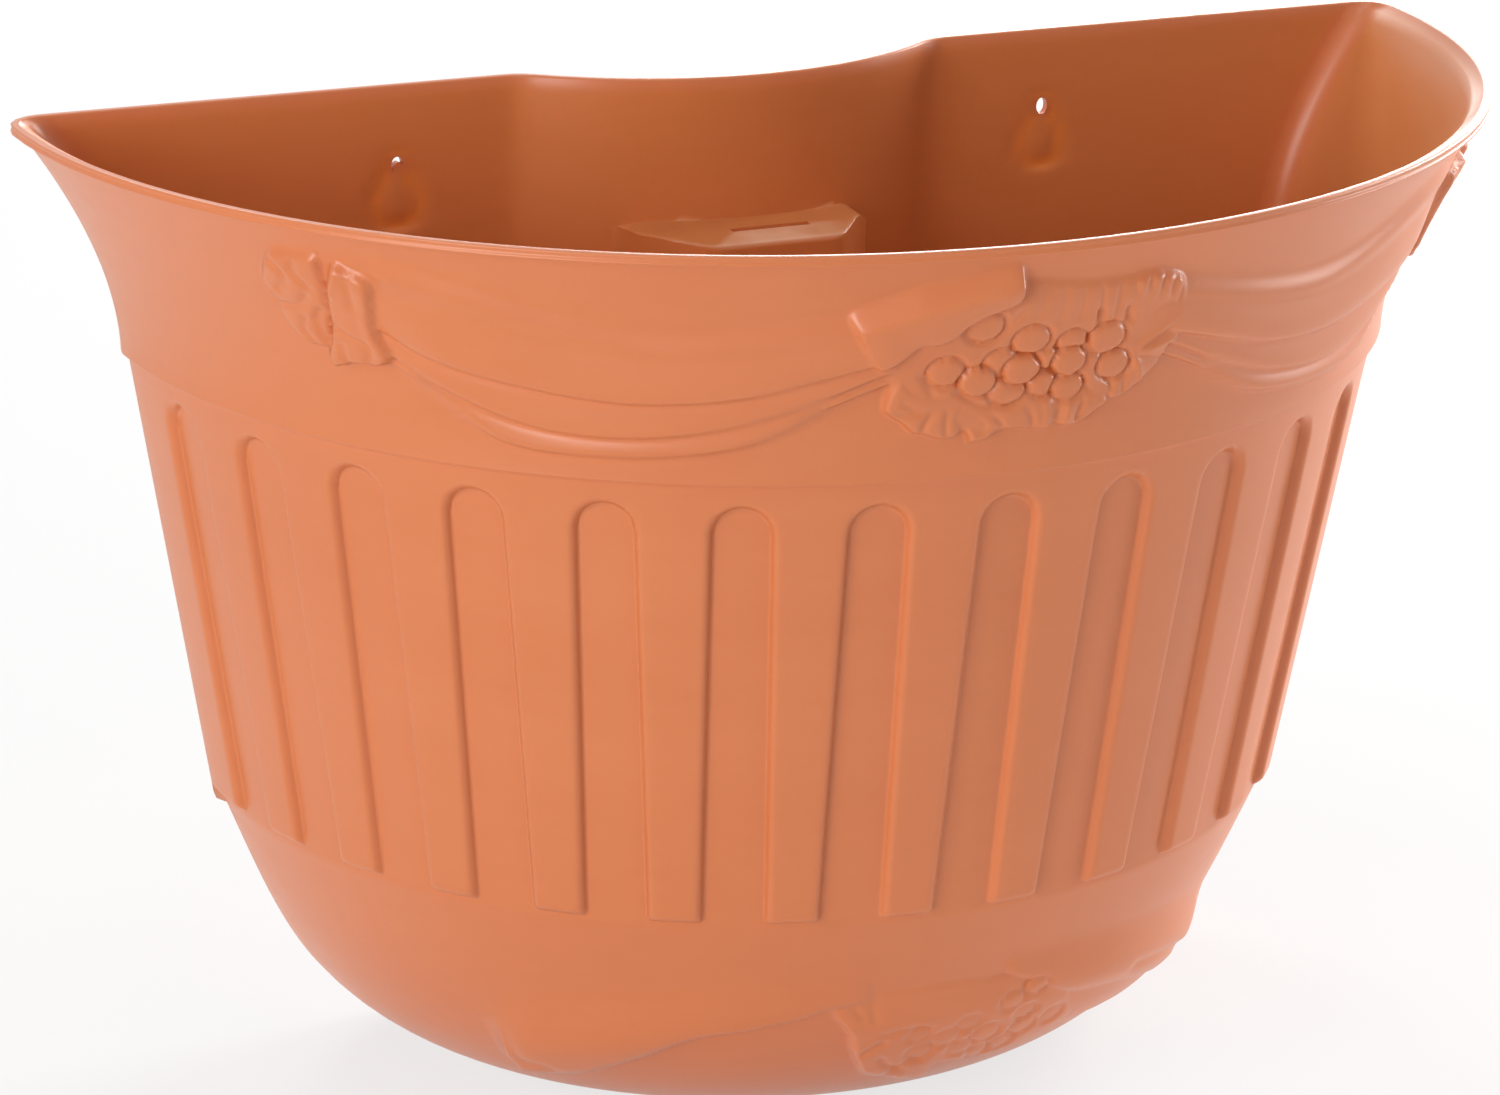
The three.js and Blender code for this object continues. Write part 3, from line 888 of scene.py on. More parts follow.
@dataclass(frozen=True)
class Garland:
    """The ornament on the collar: a middle cluster, two swags of cloth and two side clusters.

    Lines and outlines are pairs of degrees round from the front's middle and millimetres below the rim.
    """

    plane: Plane = Plane(3.16, 1.05)
    middle_end: float = 17.0
    side_start: float = 48.0
    bead: float = 0.35
    furrow: float = 0.5
    top_line: tuple[Point2, ...] = (
        (9, 12), (15.5, 16.5), (23.5, 21), (30, 22), (36.5, 18), (43, 11.5), (49, 8), (56, 6),
    )
    drapes: tuple[Drape, ...] = (
        Drape(
            ((10, 27), (12.5, 29.5), (17.5, 34), (22, 38), (27, 40.3), (33, 40.8), (40.5, 38), (46.5, 34),
             (52, 27), (56, 20)),
            0.0, 4.4,
        ),
        Drape(
            ((10, 31), (12.5, 33.5), (16.5, 39), (20, 43.2), (25, 48), (31.5, 50.8), (38, 50.3), (43, 46.5),
             (48, 40), (52, 33), (56, 25)),
            2.2, 3.5,
        ),
        Drape(
            ((10, 34), (12.5, 37), (16.5, 42.5), (19.5, 48), (23.5, 53), (30, 56), (36, 56.6), (41, 55.6),
             (44, 52.4), (48, 43.5), (52, 36.5), (56, 28)),
            1.3, 2.5,
        ),
    )
    flap: Leaf = Leaf(
        ((-15, 16), (-14.6, 20), (-14, 24), (-13.4, 28), (-12.8, 30.5), (-11.8, 30), (-10.8, 27.5),
         (-9.8, 24.4), (-8.9, 24.4), (-8, 23.8), (-7, 22), (-6.3, 19.3), (-5.3, 17.2), (-4.4, 16),
         (-3.5, 15), (-2.6, 13), (-2.4, 9.5), (-2.7, 5.6), (-3.6, 4.2), (-5, 4.4), (-7.2, 6.2),
         (-10.4, 10.2), (-12.8, 13.2)),
        level=4.4, crown=1.0, edge=0.9,
        fade=((-16, 15.5), (-10, 8.5), (-3.2, 3.2), (0, 2.5)), fade_over=7.0,
    )
    base: Leaf = Leaf(
        ((-12.4, 30), (-11.8, 35), (-12, 42), (-10.5, 46.4), (-9, 49), (-7.5, 51), (-6.3, 51),
         (-5.4, 50), (-4.8, 52.5), (-3.5, 52), (-2.5, 50.4), (-0.5, 50.2), (1.5, 51), (2.6, 50.4),
         (4, 51), (5, 50), (6.9, 46.4), (8.4, 45), (9.4, 42.4), (11.2, 36.6), (11.8, 33), (12.3, 30),
         (12, 23), (11.5, 16), (10.8, 13.6), (8.5, 11), (6.5, 12), (3, 12), (-1, 10), (-4, 10),
         (-9, 16)),
        level=1.7, crown=1.0, edge=0.9,
        fade=((-13, 18), (-2, 6), (6, 7), (8.5, 7), (12.5, 10)), fade_over=10.0,
        veins=(
            Crease(((-0.6, 12), (-0.9, 19)), 0.45, 0.8), Crease(((1.1, 12), (0.9, 21)), 0.4, 0.7),
            Crease(((2.7, 12.6), (2.6, 20)), 0.45, 0.8), Crease(((4.1, 12.6), (4.4, 21)), 0.6, 0.7),
            Crease(((5.6, 12.4), (5.8, 22)), 0.55, 0.8), Crease(((7, 20), (7.1, 23)), 1.4, 1.2),
            Crease(((4.5, 20), (4.6, 22.6)), 1.3, 1.0), Crease(((-2.2, 17), (-3.2, 22)), 0.5, 0.9),
            Crease(((-9.4, 33), (-8.4, 38)), 0.6, 1.0), Crease(((3.4, 36), (5, 41.6)), 0.7, 0.6),
            Crease(((-6.6, 38.6), (-4.6, 42), (-3.4, 43)), 0.8, 0.6),
            Crease(((6.4, 39), (7.4, 43), (6.8, 45.5)), 0.8, 0.7),
        ),
    )
    leaves: tuple[Leaf, ...] = (
        Leaf(
            ((-11, 34.4), (-11.8, 38), (-12.1, 42.6), (-11.3, 45), (-10.5, 46.6), (-9.7, 49.2),
             (-8.4, 50.2), (-7.3, 51.5), (-6.2, 51), (-5.7, 48.6), (-6.1, 45.6), (-5.8, 42.6),
             (-6.5, 40), (-7.5, 39.2), (-8.5, 38.8), (-9.3, 38.3), (-10.2, 36.4), (-10.6, 35.2)),
            level=2.6, crown=0.8,
            veins=(
                Crease(((-6.3, 41.8), (-8.6, 43), (-10.9, 43.6)), 0.8, 0.9),
                Crease(((-8, 43), (-8.7, 46), (-8.9, 49))),
                Crease(((-9.2, 43.2), (-10.6, 40.4)), 0.6),
                Crease(((-7, 42.6), (-7.1, 46.4), (-7, 49.6)), 0.6),
            ),
        ),
        Leaf(
            ((-5.6, 44.8), (-5.4, 47.4), (-5.1, 50.4), (-4.9, 53), (-4.2, 52.6), (-3.4, 52.2),
             (-2.6, 50.4), (-1.6, 50.2), (-0.5, 50.4), (0.6, 51), (1.6, 51.2), (2.3, 50), (2.5, 46.4),
             (2.2, 44), (1, 41.6), (-1, 42.4), (-2.5, 43), (-3.8, 44)),
            level=2.5, crown=0.7,
            veins=(
                Crease(((-5, 46.6), (-4.2, 48.4)), 1.9, 1.5),
                Crease(((-3.4, 45), (-2.5, 47.4), (-2.2, 49.6)), 0.7),
                Crease(((-0.4, 43.6), (0.1, 46.6), (0.3, 49.6)), 0.7),
                Crease(((1.2, 43.4), (1.5, 46.6), (1.4, 50)), -0.5),
            ),
        ),
        Leaf(
            ((2.6, 43), (2.4, 46.4), (2.5, 50.2), (3.2, 51), (4.2, 51.2), (4.9, 50), (5.8, 48.2),
             (6.9, 46.2), (6.8, 44), (5.5, 42.4), (4, 42)),
            level=2.7, crown=0.8,
            veins=(
                Crease(((4.6, 43.4), (4.3, 46.8), (4.2, 50)), 1.0),
                Crease(((3.3, 43.4), (3.2, 49.4)), -0.6),
            ),
        ),
        Leaf(
            ((7, 45), (8.4, 45), (9.4, 42.4), (10.5, 39.4), (11.4, 36.4), (11.7, 33), (12.4, 30),
             (12.3, 25.4), (12, 21.4), (11, 19.6), (9.5, 20.4), (8.8, 24.4), (8.4, 28.4), (8, 32.4),
             (7.4, 37.4), (7, 41.4)),
            level=2.6, crown=0.8,
            veins=(
                Crease(((8.8, 31), (10.4, 26.4), (11.9, 22.2)), -0.7),
                Crease(((9, 31.6), (10.8, 28.4), (12, 26)), 0.9),
                Crease(((9, 32.4), (10.6, 31.4), (11.9, 30)), -0.7),
                Crease(((8.9, 33.4), (10.2, 34.6), (11.2, 35.6)), 0.9),
                Crease(((8.6, 34.4), (9.3, 38), (9.5, 41)), -0.6),
                Crease(((8.1, 35), (8, 39), (8.1, 43)), 0.8),
            ),
        ),
        Leaf(
            ((6.5, 12.6), (7.4, 11.6), (8.5, 11.1), (9.6, 11.7), (10.6, 12.6), (11.5, 14.4), (12, 18),
             (12, 21.8), (10.6, 21), (9.4, 21.8), (8.2, 22.6), (7.2, 22.6), (6.6, 20), (6.2, 16)),
            level=2.4, crown=0.4, edge=1.6,
            veins=(
                Crease(((6.9, 12.4), (6.9, 21.6)), 0.9, 0.7),
                Crease(((8.1, 12), (8.1, 21.6)), 1.0, 0.7),
                Crease(((9.3, 12.4), (9.2, 20.8)), 1.0, 0.6),
                Crease(((10.3, 13.6), (10.4, 20.4)), 0.9, 0.6),
                Crease(((11.2, 14.6), (11.3, 20.6)), 0.7, 0.5),
            ),
        ),
    )
    fruits: tuple[Fruit, ...] = tuple(
        Fruit(*numbers)
        for numbers in (
            (-2.2, 38.8, 4.9, 2.0), (-3, 31.4, 4.6, 2.0), (0.8, 38.4, 3.9, 1.9), (3, 39.8, 4.3, 2.0),
            (2.6, 27.4, 3.9, 2.0), (0.8, 31.6, 3.3, 1.9), (-4.9, 20.6, 4.7, 2.2), (-0.9, 25.6, 4.6, 2.2),
            (5.6, 27.6, 4.9, 2.3), (-7.4, 32.6, 4.5, 2.2), (-4.8, 35.9, 4.6, 2.5), (-1.3, 33.6, 4.7, 2.5),
            (2.7, 32.8, 4.5, 2.4), (6.8, 35.4, 4.5, 2.1),
        )
    )
    side_leaf: Leaf = Leaf(
        ((54.4, 17.4), (54.2, 15.5), (53.6, 12.5), (53, 10), (52, 11.4), (51, 12.4), (50.4, 14.5),
         (50.6, 19), (51, 24), (51.2, 29), (50.6, 34), (51.4, 37.4), (52.7, 38), (54, 38.2),
         (55.2, 39.4), (56, 40.2), (56.6, 37.6), (56.1, 34), (55.5, 30), (55.1, 26), (54.8, 21)),
        level=3.6, crown=0.5, edge=0.8,
        veins=(
            Crease(((53.1, 11), (53.4, 15), (53.9, 18)), -0.6),
            Crease(((52, 12.6), (52.2, 17), (52.4, 21)), 0.9, 0.8),
            Crease(((51, 16), (51.2, 20), (51.8, 26), (51.4, 33)), -0.5, 1.2),
            Crease(((55, 27), (54, 29.4), (53, 30.6)), 0.8),
            Crease(((52.6, 31), (52.2, 34), (52.8, 37.4)), 0.9, 0.8),
            Crease(((54.6, 33), (54.8, 36), (54.4, 38.4)), 1.0, 0.7),
        ),
    )
    side_mass: Leaf = Leaf(
        ((58.5, 10), (57.3, 9.6), (55.5, 8.8), (54.3, 9), (54.4, 12), (54.5, 17), (54.9, 22),
         (55.3, 27), (55.9, 32), (56.6, 37), (57, 35.8), (58.2, 36.2), (59, 35), (59.7, 32.4),
         (60.4, 29), (60.2, 25), (60.6, 21), (61, 19), (60.2, 14.6), (59.4, 11.6)),
        level=2.3, crown=1.0, edge=1.4,
        veins=(
            Crease(((56.6, 10.4), (57, 14), (56.2, 18)), 1.1, 0.8),
            Crease(((58.9, 12), (58, 16), (59.2, 20)), 1.0, 0.8),
            Crease(((56.6, 20), (57.8, 23.6), (59.9, 24.6)), 1.0, 0.8),
            Crease(((55.8, 24), (56.6, 28), (56.5, 33)), 1.2, 0.9),
            Crease(((57.6, 27), (58.2, 31), (57.6, 35)), 0.9, 0.8),
        ),
    )

    def swags(self, angle: np.ndarray, depth: np.ndarray) -> np.ndarray:
        """Height of both swags, each fold laid over the next.

        Args:
            angle: Degrees round from the front's middle.
            depth: Millimetres below the rim.

        Returns:
            Heights in the same layout.
        """
        turn = np.abs(angle)
        tall, lines = np.zeros(angle.shape), np.zeros(angle.shape)

        def along(line: Sequence[Point2]) -> np.ndarray:
            """Depth of a line at every angle."""
            path = curve_through(line, closed=False)
            return np.interp(turn, path[:, 0], path[:, 1])

        top = high = along(self.top_line)
        for drape in self.drapes:
            low = along(drape.edge)
            down = np.clip((depth - high) / np.clip(low - high, 1, None), 0, 1)
            full = drape.start + (drape.full - drape.start) * np.sin(0.5 * np.pi * down) ** 1.2
            rise = full * ease((depth - top + 1) / 6)
            roll = 0.76 * swell((low - depth) / 0.9, 2.0) + 0.24 * swell((low - depth) / 6, 2.0)
            tall = np.maximum(tall, rise * roll)
            bead = self.bead * np.exp(-(((depth - low + 1.2) / 0.85) ** 2))
            lines = lines + bead - self.furrow * np.exp(-(((depth - low - 0.45) / 0.65) ** 2))
            high = low
        ends = ease((turn - 8) / 4) * ease((58 - turn) / 6) * (0.4 + 0.6 * ease((52.5 - turn) / 6))
        return (tall + lines * (0.2 + 0.8 * ease((turn - 34) / 10))) * ends

    def height(self, angle: np.ndarray, depth: np.ndarray) -> np.ndarray:
        """Height of the whole ornament over the collar.

        Args:
            angle: Degrees round from the front's middle.
            depth: Millimetres below the rim.

        Returns:
            Height in millimetres, in the same layout.
        """
        plane = self.plane
        x, y = angle * plane.wide, depth * plane.tall
        made = self.swags(angle, depth)
        middle = np.abs(angle) < self.middle_end
        mx, my = x[middle], y[middle]
        tall = made[middle] * 0.6
        for leaf in (self.base, *self.leaves):
            tall = np.maximum(tall, leaf.height(mx, my, plane))
        tall = np.maximum(lay_fruits(tall, self.fruits, mx, my, plane), self.flap.height(mx, my, plane))
        made[middle] = np.maximum(made[middle], tall)
        side = np.abs(angle) > self.side_start
        for leaf in (self.side_leaf, self.side_mass):
            made[side] = np.maximum(made[side], leaf.height(np.abs(x[side]), y[side], plane))
        return made


@dataclass(frozen=True)
class LowerGarland:
    """The ornament on the bowl: a cluster in the middle and a tail of cloth to each side."""

    plane: Plane = Plane(2.24, 1.2)
    base: Leaf = Leaf(
        ((-12, 214.4), (-11.6, 217.6), (-10.6, 220.6), (-9.2, 225), (-8.9, 228.6), (-8.4, 231.6),
         (-7.4, 236), (-6.4, 239.4), (-5, 241.4), (-3.4, 242.4), (-1.5, 244), (0.5, 245.4),
         (2.2, 245.6), (3.4, 245), (3.2, 242), (3.4, 239.8), (5.5, 239.6), (8, 241), (10.5, 241.2),
         (12.8, 240.8), (15, 240), (17.6, 238.4), (20, 236.4), (21.4, 234.4), (21.8, 232),
         (20.4, 228.4), (18.5, 222), (16.5, 216.6), (12, 213), (7.5, 212.6), (2, 211.8), (-4, 211.8),
         (-8, 212.2), (-10.5, 212)),
        level=2.6, crown=0.6, edge=0.8,
        veins=(
            Crease(((-10.6, 212), (-9.6, 215), (-8.4, 218)), 1.0, 0.9),
            Crease(((-7, 213), (-7.4, 216), (-7, 219)), 1.0, 0.9),
            Crease(((-7.4, 231), (-5.4, 227)), 1.0, 0.8),
            Crease(((-5, 233), (-3.8, 236), (-1.4, 239)), 1.0, 0.8),
            Crease(((-5.4, 224), (-2.4, 223), (0, 224)), 0.8, 0.9),
            Crease(((-3.4, 240.4), (-1.6, 236), (0.6, 236)), 0.8, 0.8),
        ),
        fade=((-13, 210), (0, 207), (20, 210)), fade_over=18.0,
    )
    fruits: tuple[Fruit, ...] = tuple(
        Fruit(*numbers, crown=0.5, furrow=0.9)
        for numbers in (
            (-0.3, 232.4, 3.8, 2.2), (2.5, 228.3, 4.0, 2.4), (4.9, 224.4, 3.4, 2.2), (5.3, 233.4, 3.8, 2.3),
            (8, 229.6, 4.1, 2.5), (11.4, 235.2, 3.6, 2.2), (10, 220.4, 3.4, 2.2), (12.9, 217, 3.1, 2.2),
            (13.3, 230.4, 4.0, 2.4), (17.6, 229.6, 3.5, 2.2), (-1.2, 226, 3.2, 2.1), (12.6, 225.2, 3.3, 2.1),
            (8.4, 236.8, 3.2, 2.1),
        )
    )
    left_tail: Leaf = Leaf(
        ((-8, 213), (-12, 215.4), (-16, 218.6), (-21, 221.2), (-27, 224.6), (-32, 231), (-37, 237),
         (-41.5, 241.6), (-45.5, 243.8), (-49.4, 244.6), (-50.8, 241), (-51.2, 233), (-51, 221),
         (-47, 213), (-38, 208), (-24, 205), (-10, 205)),
        level=2.6, crown=1.4, edge=1.2,
        veins=(
            Crease(((-50, 224), (-49.4, 232), (-48.6, 238)), 0.8, 1.6),
            Crease(((-44, 240), (-47, 238), (-49.6, 240)), 0.7, 1.2),
        ),
        fade=((-53, 222), (-46, 214), (-24, 205), (0, 203)), fade_over=24.0,
    )
    right_tails: tuple[Leaf, ...] = (
        Leaf(
            ((12, 216), (16, 228), (20, 236.6), (26, 238.2), (32.5, 239.4), (39, 241), (45.5, 242.8),
             (50, 243.6), (51, 236), (36, 229), (24, 222)),
            level=1.8, crown=0.8, edge=1.0,
        ),
        Leaf(
            ((8, 210), (13, 217), (19.5, 223.6), (28.5, 227.6), (36, 232.4), (42, 236.4), (48, 239.4),
             (51, 236), (51.6, 226), (51, 216), (44, 209), (30, 205), (12, 204)),
            level=2.8, crown=1.6, edge=1.3,
            veins=(Crease(((30, 222), (40, 226), (49, 233)), 0.9, 1.8),),
            fade=((0, 203), (24, 205), (46, 212), (53, 218)), fade_over=20.0,
        ),
    )

    def height(self, angle: np.ndarray, depth: np.ndarray) -> np.ndarray:
        """Height of the whole ornament over the bowl.

        Args:
            angle: Degrees round from the front's middle.
            depth: Millimetres below the rim.

        Returns:
            Height in millimetres, in the same layout.
        """
        x, y = angle * self.plane.wide, depth * self.plane.tall
        made = self.left_tail.height(x, y, self.plane)
        for leaf in (*self.right_tails, self.base):
            made = np.maximum(made, leaf.height(x, y, self.plane))
        return lay_fruits(made, self.fruits, x, y, self.plane)


def softened(height: np.ndarray) -> np.ndarray:
    """A grid of heights with its steps rounded by its neighbours.

    Args:
        height: The grid.

    Returns:
        The grid after one pass up and down and one across.
    """
    pad = np.pad(height, 1, mode="edge")
    height = (pad[:-2, 1:-1] + 5 * pad[1:-1, 1:-1] + pad[2:, 1:-1]) / 7
    pad = np.pad(height, 1, mode="edge")
    return (pad[1:-1, :-2] + 5 * pad[1:-1, 1:-1] + pad[1:-1, 2:]) / 7


# -------------------- flutes
@dataclass(frozen=True)
class Flutes:
    """The arched grooves between raised tongues, cut by a geometry tree.

    The grid's columns lie at `inner` shares of a groove's half width and `beside` it in millimetres.
    `steps` are the shares of the columns between two grooves, before the first and after the last.
    """

    count: int = 15
    pitch: float = math.radians(11.45)
    half_top: float = 7.0
    half_end: float = 7.75
    arch_gap: float = 7.0
    rounding: float = 2.2
    corner: float = 2.6
    inner: tuple[float, ...] = (0, 0.2, 0.4, 0.6, 0.78, 0.92, 1.0)
    beside: tuple[float, ...] = (0.25, 0.6, 1.0, 1.5, 2.2, 3.2)
    steps: tuple[float, ...] = (0.25, 0.5, 0.75)
    first_steps: tuple[float, ...] = (0, 0.35, 0.7)
    last_steps: tuple[float, ...] = (0.3, 0.65, 1.0)
    between: float = 9.0

    def arch_z(self, form: ShellForm) -> float:
        """Height of the arches' tops."""
        return form.step_z - self.arch_gap

    def half(self, z: np.ndarray, form: ShellForm) -> np.ndarray:
        """Half width of a groove.

        Args:
            z: Heights.
            form: The moulding's sizes.

        Returns:
            Half the groove's width at each height.
        """
        top = self.arch_z(form)
        fall = np.clip((top - z) / (top - form.tongue_z), 0, 1)
        return self.half_top + (self.half_end - self.half_top) * fall

    def columns(self, z: np.ndarray, form: ShellForm) -> tuple[np.ndarray, np.ndarray]:
        """Angles of the grid's columns, which follow the grooves' sides.

        Args:
            z: Heights of the rows.
            form: The moulding's sizes.

        Returns:
            Angles by row and column, and each column's place across its groove by row and column,
            as a share of the groove's half width, or `between` the grooves.
        """
        half = self.half(z, form)[:, None]
        right = np.concatenate([np.array(self.inner) * half, half + np.array(self.beside)], axis=1)
        local = np.concatenate([-right[:, :0:-1], right], axis=1)
        wide, deep = form.tongues(z)
        quarter = math.pi / 2
        plain = np.full((len(z), len(self.steps)), self.between)
        rows, shares, steps = [], [], self.first_steps
        last = np.full((len(z), 1), -quarter)
        for index in range(self.count):
            angle = (index - (self.count - 1) / 2) * self.pitch
            pace = np.hypot(wide * math.cos(angle), (deep - form.corner) * math.sin(angle))[:, None]
            block = angle + local / pace
            rows += [last + (block[:, :1] - last) * np.array([steps]), block]
            shares += [plain, np.abs(local) / half]
            last, steps = block[:, -1:], self.steps
        rows.append(last + (quarter - last) * np.array([self.last_steps]))
        shares.append(plain)
        return np.concatenate(rows, axis=1), np.concatenate(shares, axis=1)

    def tree(self) -> bpy.types.NodeTree:
        """Builds the tree that pushes the grooves into the moulding.

        Returns:
            The tree, with an input for each size of the grooves.
        """
        sheet, given = form_sheet("cut_flutes", {key: "Float" for key in (
            "Count", "Pitch", "Half Width Top", "Half Width End", "Arch Top", "Tongue End", "Depth",
            "Rounding", "Corner",
        )})

        def mark(name: str) -> Value:
            """Value of one of the mesh's marks."""
            node = sheet.add("GeometryNodeInputNamedAttribute", {"data_type": "FLOAT"}, {"Name": name})
            return sheet.value(node, "Attribute")

        def size(name: str) -> Value:
            """Value of one of the tree's inputs."""
            return sheet.value(given, name)

        turn, level = mark("turn"), mark("level")
        last = (size("Count") - 1) / 2
        index = (turn / size("Pitch")).act("ROUND").at_most(last).at_least(last * -1)
        across = (turn - index * size("Pitch")) * mark("pace")
        share = ((size("Arch Top") - level) / (size("Arch Top") - size("Tongue End"))).clamp()
        half = size("Half Width Top") + (size("Half Width End") - size("Half Width Top")) * share
        rise = (level - (size("Arch Top") - size("Half Width Top"))).at_least(0.0)
        beside = (across * across + rise * rise).act("SQRT") - half
        above = level - size("Tongue End")
        tongue = beside.act("SMOOTH_MIN", above, size("Corner"))
        sunk = (1 - (tongue / size("Rounding")).clamp()) ** 2.2 * size("Depth") * mark("fluted") * -MM
        way = sheet.add(
            "ShaderNodeCombineXYZ",
            inputs={0: turn.act("SINE") * sunk, 1: turn.act("COSINE") * sunk * -1, 2: 0.0},
        ).outputs[0]
        moved = sheet.add(
            "GeometryNodeSetPosition", inputs={"Geometry": given.outputs["Geometry"], "Offset": way}
        ).outputs[0]
        return close_sheet(sheet, given, moved)

    def settings(self, form: ShellForm, finish: bpy.types.Material) -> dict[str, object]:
        """Values of the tree's inputs."""
        return {
            "Count": float(self.count),
            "Pitch": self.pitch,
            "Half Width Top": self.half_top,
            "Half Width End": self.half_end,
            "Arch Top": self.arch_z(form),
            "Tongue End": form.tongue_z,
            "Depth": form.groove_depth,
            "Rounding": self.rounding,
            "Corner": self.corner,
            "Finish": finish,
        }


# -------------------- back wall details
@dataclass(frozen=True)
class BracketPocket:
    """The hollow boss in the channel that takes a wall bracket, with a slot through its roof.

    Its depth goes from a share of 0 at the front to 1 at the channel's wall. `falls` and `shares` are the
    roof's section over the block, `soft_falls` and `soft_shares` the one left of it. `left_lines` are the
    place, share and slope of the two lines that the left side follows. Tuples of two are left, right.
    """

    below_rim: float = 0.148 * 260
    height: float = 0.26 * 260
    half_back: float = 0.165 * 200
    half_front: float = 0.09 * 200
    out: float = 0.09 * 204
    shift: float = 1.5
    droop: float = 7.0
    sags: tuple[float, float] = (1.0, 5.0)
    falls: tuple[float, ...] = (0.0, 0.5, 1.9)
    shares: tuple[float, ...] = (1.0, 0.46, 0.0)
    soft_falls: tuple[float, ...] = (0.0, 0.6, 1.5, 2.0, 2.8)
    soft_shares: tuple[float, ...] = (1.0, 0.52, 0.15, 0.05, 0.0)
    above_slope: float = 1.2
    below_slope: float = 0.12
    left_lines: tuple[tuple[float, float, float], ...] = ((18.9, 0.0, 0.045), (27.8, 0.4, 0.0896))
    end_past: tuple[float, float] = (0.9, 0.5)
    end_run: float = 2.2
    blend_left: float = 0.05
    blend_end: float = 0.14
    blend_tail: float = 0.35
    blend_head: float = 0.12
    blend_front: float = 0.16
    block_edge: float = -9.5
    block_slant: float = 11.0
    block_fade: float = 2.5
    rise: float = 0.35
    slot_width: float = 22.5
    slot_gap: float = 2.3
    slot_offset: float = -0.75
    slot_share: float = 0.5
    # extent of the pale band of rubbing with its painted highlight
    scuff_and_highlight_end: float = 23.0
    scuff_and_highlight_fade: float = 12.0
    scuff_and_highlight_share: float = 0.85
    roof_falls: tuple[float, ...] = (
        -0.35, -0.15, 0.0, 0.15, 0.3, 0.75, 1.0, 1.3, 1.6, 1.9, 2.2, 2.6, 3.0, 3.3, 3.6, 4.2, 5.0, 6.2, 7.8,
    )
    row_gap: float = 0.06

    def top(self, form: ShellForm, inset: float) -> float:
        """Height of the roof's top edge."""
        return form.rim_z - self.below_rim - inset

    def sag(self, x: np.ndarray, inset: float) -> np.ndarray:
        """How far the roof hangs lower towards its ends."""
        past = (np.abs(x + self.shift) - (self.half_back - inset - self.droop)) / self.droop
        return np.where(x + self.shift < 0, *self.sags) * np.clip(past, 0, 1.2) ** 2

    def sheared(self, x: np.ndarray, z: np.ndarray, form: ShellForm, inset: float) -> np.ndarray:
        """Heights of the grid's points, bent to follow the roof's sagging ends.

        Args:
            x: Places across.
            z: Heights before.
            form: The moulding's sizes.
            inset: 0 for the boss's face, the wall's thickness for its hollow.

        Returns:
            Heights after.
        """
        top = self.top(form, inset)
        near = np.clip(1 - (z - top) / 13, 0, 1) * np.clip(1 - (top - 8 - z) / 30, 0, 1)
        return z - self.sag(x, inset) * near * (1 - ease((np.abs(x + self.shift) - 38) / 22))

    def section(self, fall: np.ndarray, falls: Sequence[float], shares: Sequence[float]) -> np.ndarray:
        """Share at a depth under the roof's top, carried on past both ends of its table."""
        above = np.clip(falls[0] - fall, 0, None) * self.above_slope
        return np.interp(fall, falls, shares) + above - np.clip(fall - falls[-1], 0, None) * self.below_slope

    def face(self, x: np.ndarray, z: np.ndarray, form: ShellForm, inset: float) -> np.ndarray:
        """How far the boss stands off the wall plane.

        Args:
            x: Places across.
            z: Heights.
            form: The moulding's sizes.
            inset: 0 for the boss's face, the wall's thickness for its hollow.

        Returns:
            Distance from the wall plane at each place.
        """
        top = self.top(form, inset)
        beside = np.abs(x + self.shift) + inset
        lines = [share + (beside - at) * slope for at, share, slope in self.left_lines]
        right = (beside - self.half_front) / (self.half_back - self.half_front)
        side = np.where(x + self.shift < 0, soft_max(*lines, self.blend_left), right)
        end = 1 + (beside - self.half_back - np.where(x < 0, *self.end_past)) / self.end_run
        side = soft_max(side, end, self.blend_end)
        fall = top - self.sag(x, inset) - z
        head = self.section(fall, self.falls, self.shares)
        plain = self.section(fall, self.soft_falls, self.soft_shares)
        slant = self.block_edge - self.block_slant * (1 - np.clip(head, 0, 1))
        head = head + (plain - head) * ease((slant - x) / self.block_fade)
        tail = 1 - (z - (top + 2 * inset - self.height)) / (self.rise * self.height)
        share = soft_max(soft_max(side, tail, self.blend_tail), head, self.blend_head)
        share = soft_max(share, np.zeros_like(share), self.blend_front)
        return form.channel_depth + form.wall + self.out - inset - self.out * share

    def scuff(self, x: np.ndarray, z: np.ndarray, form: ShellForm) -> np.ndarray:
        """Pale band between the slot and the roof's front edge: rubbing, with a painted highlight on it.

        Args:
            x: Places across.
            z: Heights.
            form: The moulding's sizes.

        Returns:
            Share of the pale band, rubbing and painted highlight, at each place.
        """
        fall = form.rim_z - self.below_rim - self.sag(x, 0.0) - z
        band = ease((fall - self.falls[1] + 0.1) / 0.15) * ease((self.falls[2] + 0.5 - fall) / 0.5)
        slant = self.block_edge - self.block_slant * fall / self.falls[2]
        along = ease((x - slant) / 2.0) * ease((self.scuff_and_highlight_end - x) / self.scuff_and_highlight_fade)
        return band * along * self.scuff_and_highlight_share

    def roof_rows(self, form: ShellForm, inset: float) -> tuple[np.ndarray, int]:
        """Heights of the rows that make up the roof.

        Args:
            form: The moulding's sizes.
            inset: 0 for the boss's face, the wall's thickness for its hollow.

        Returns:
            The heights from the top down, and the number of the row above the slot.
        """
        middle = self.slot_share - inset / self.out
        edges = [-middle - self.slot_gap / 2 / self.out, -middle + self.slot_gap / 2 / self.out]
        slot = np.interp(edges, [-share for share in self.shares], self.falls)
        clear = [fall for fall in self.roof_falls if np.abs(slot - fall).min() > self.row_gap]
        falls = sorted([*clear, *slot])
        return np.array([self.top(form, inset) - fall for fall in falls]), falls.index(slot[0])


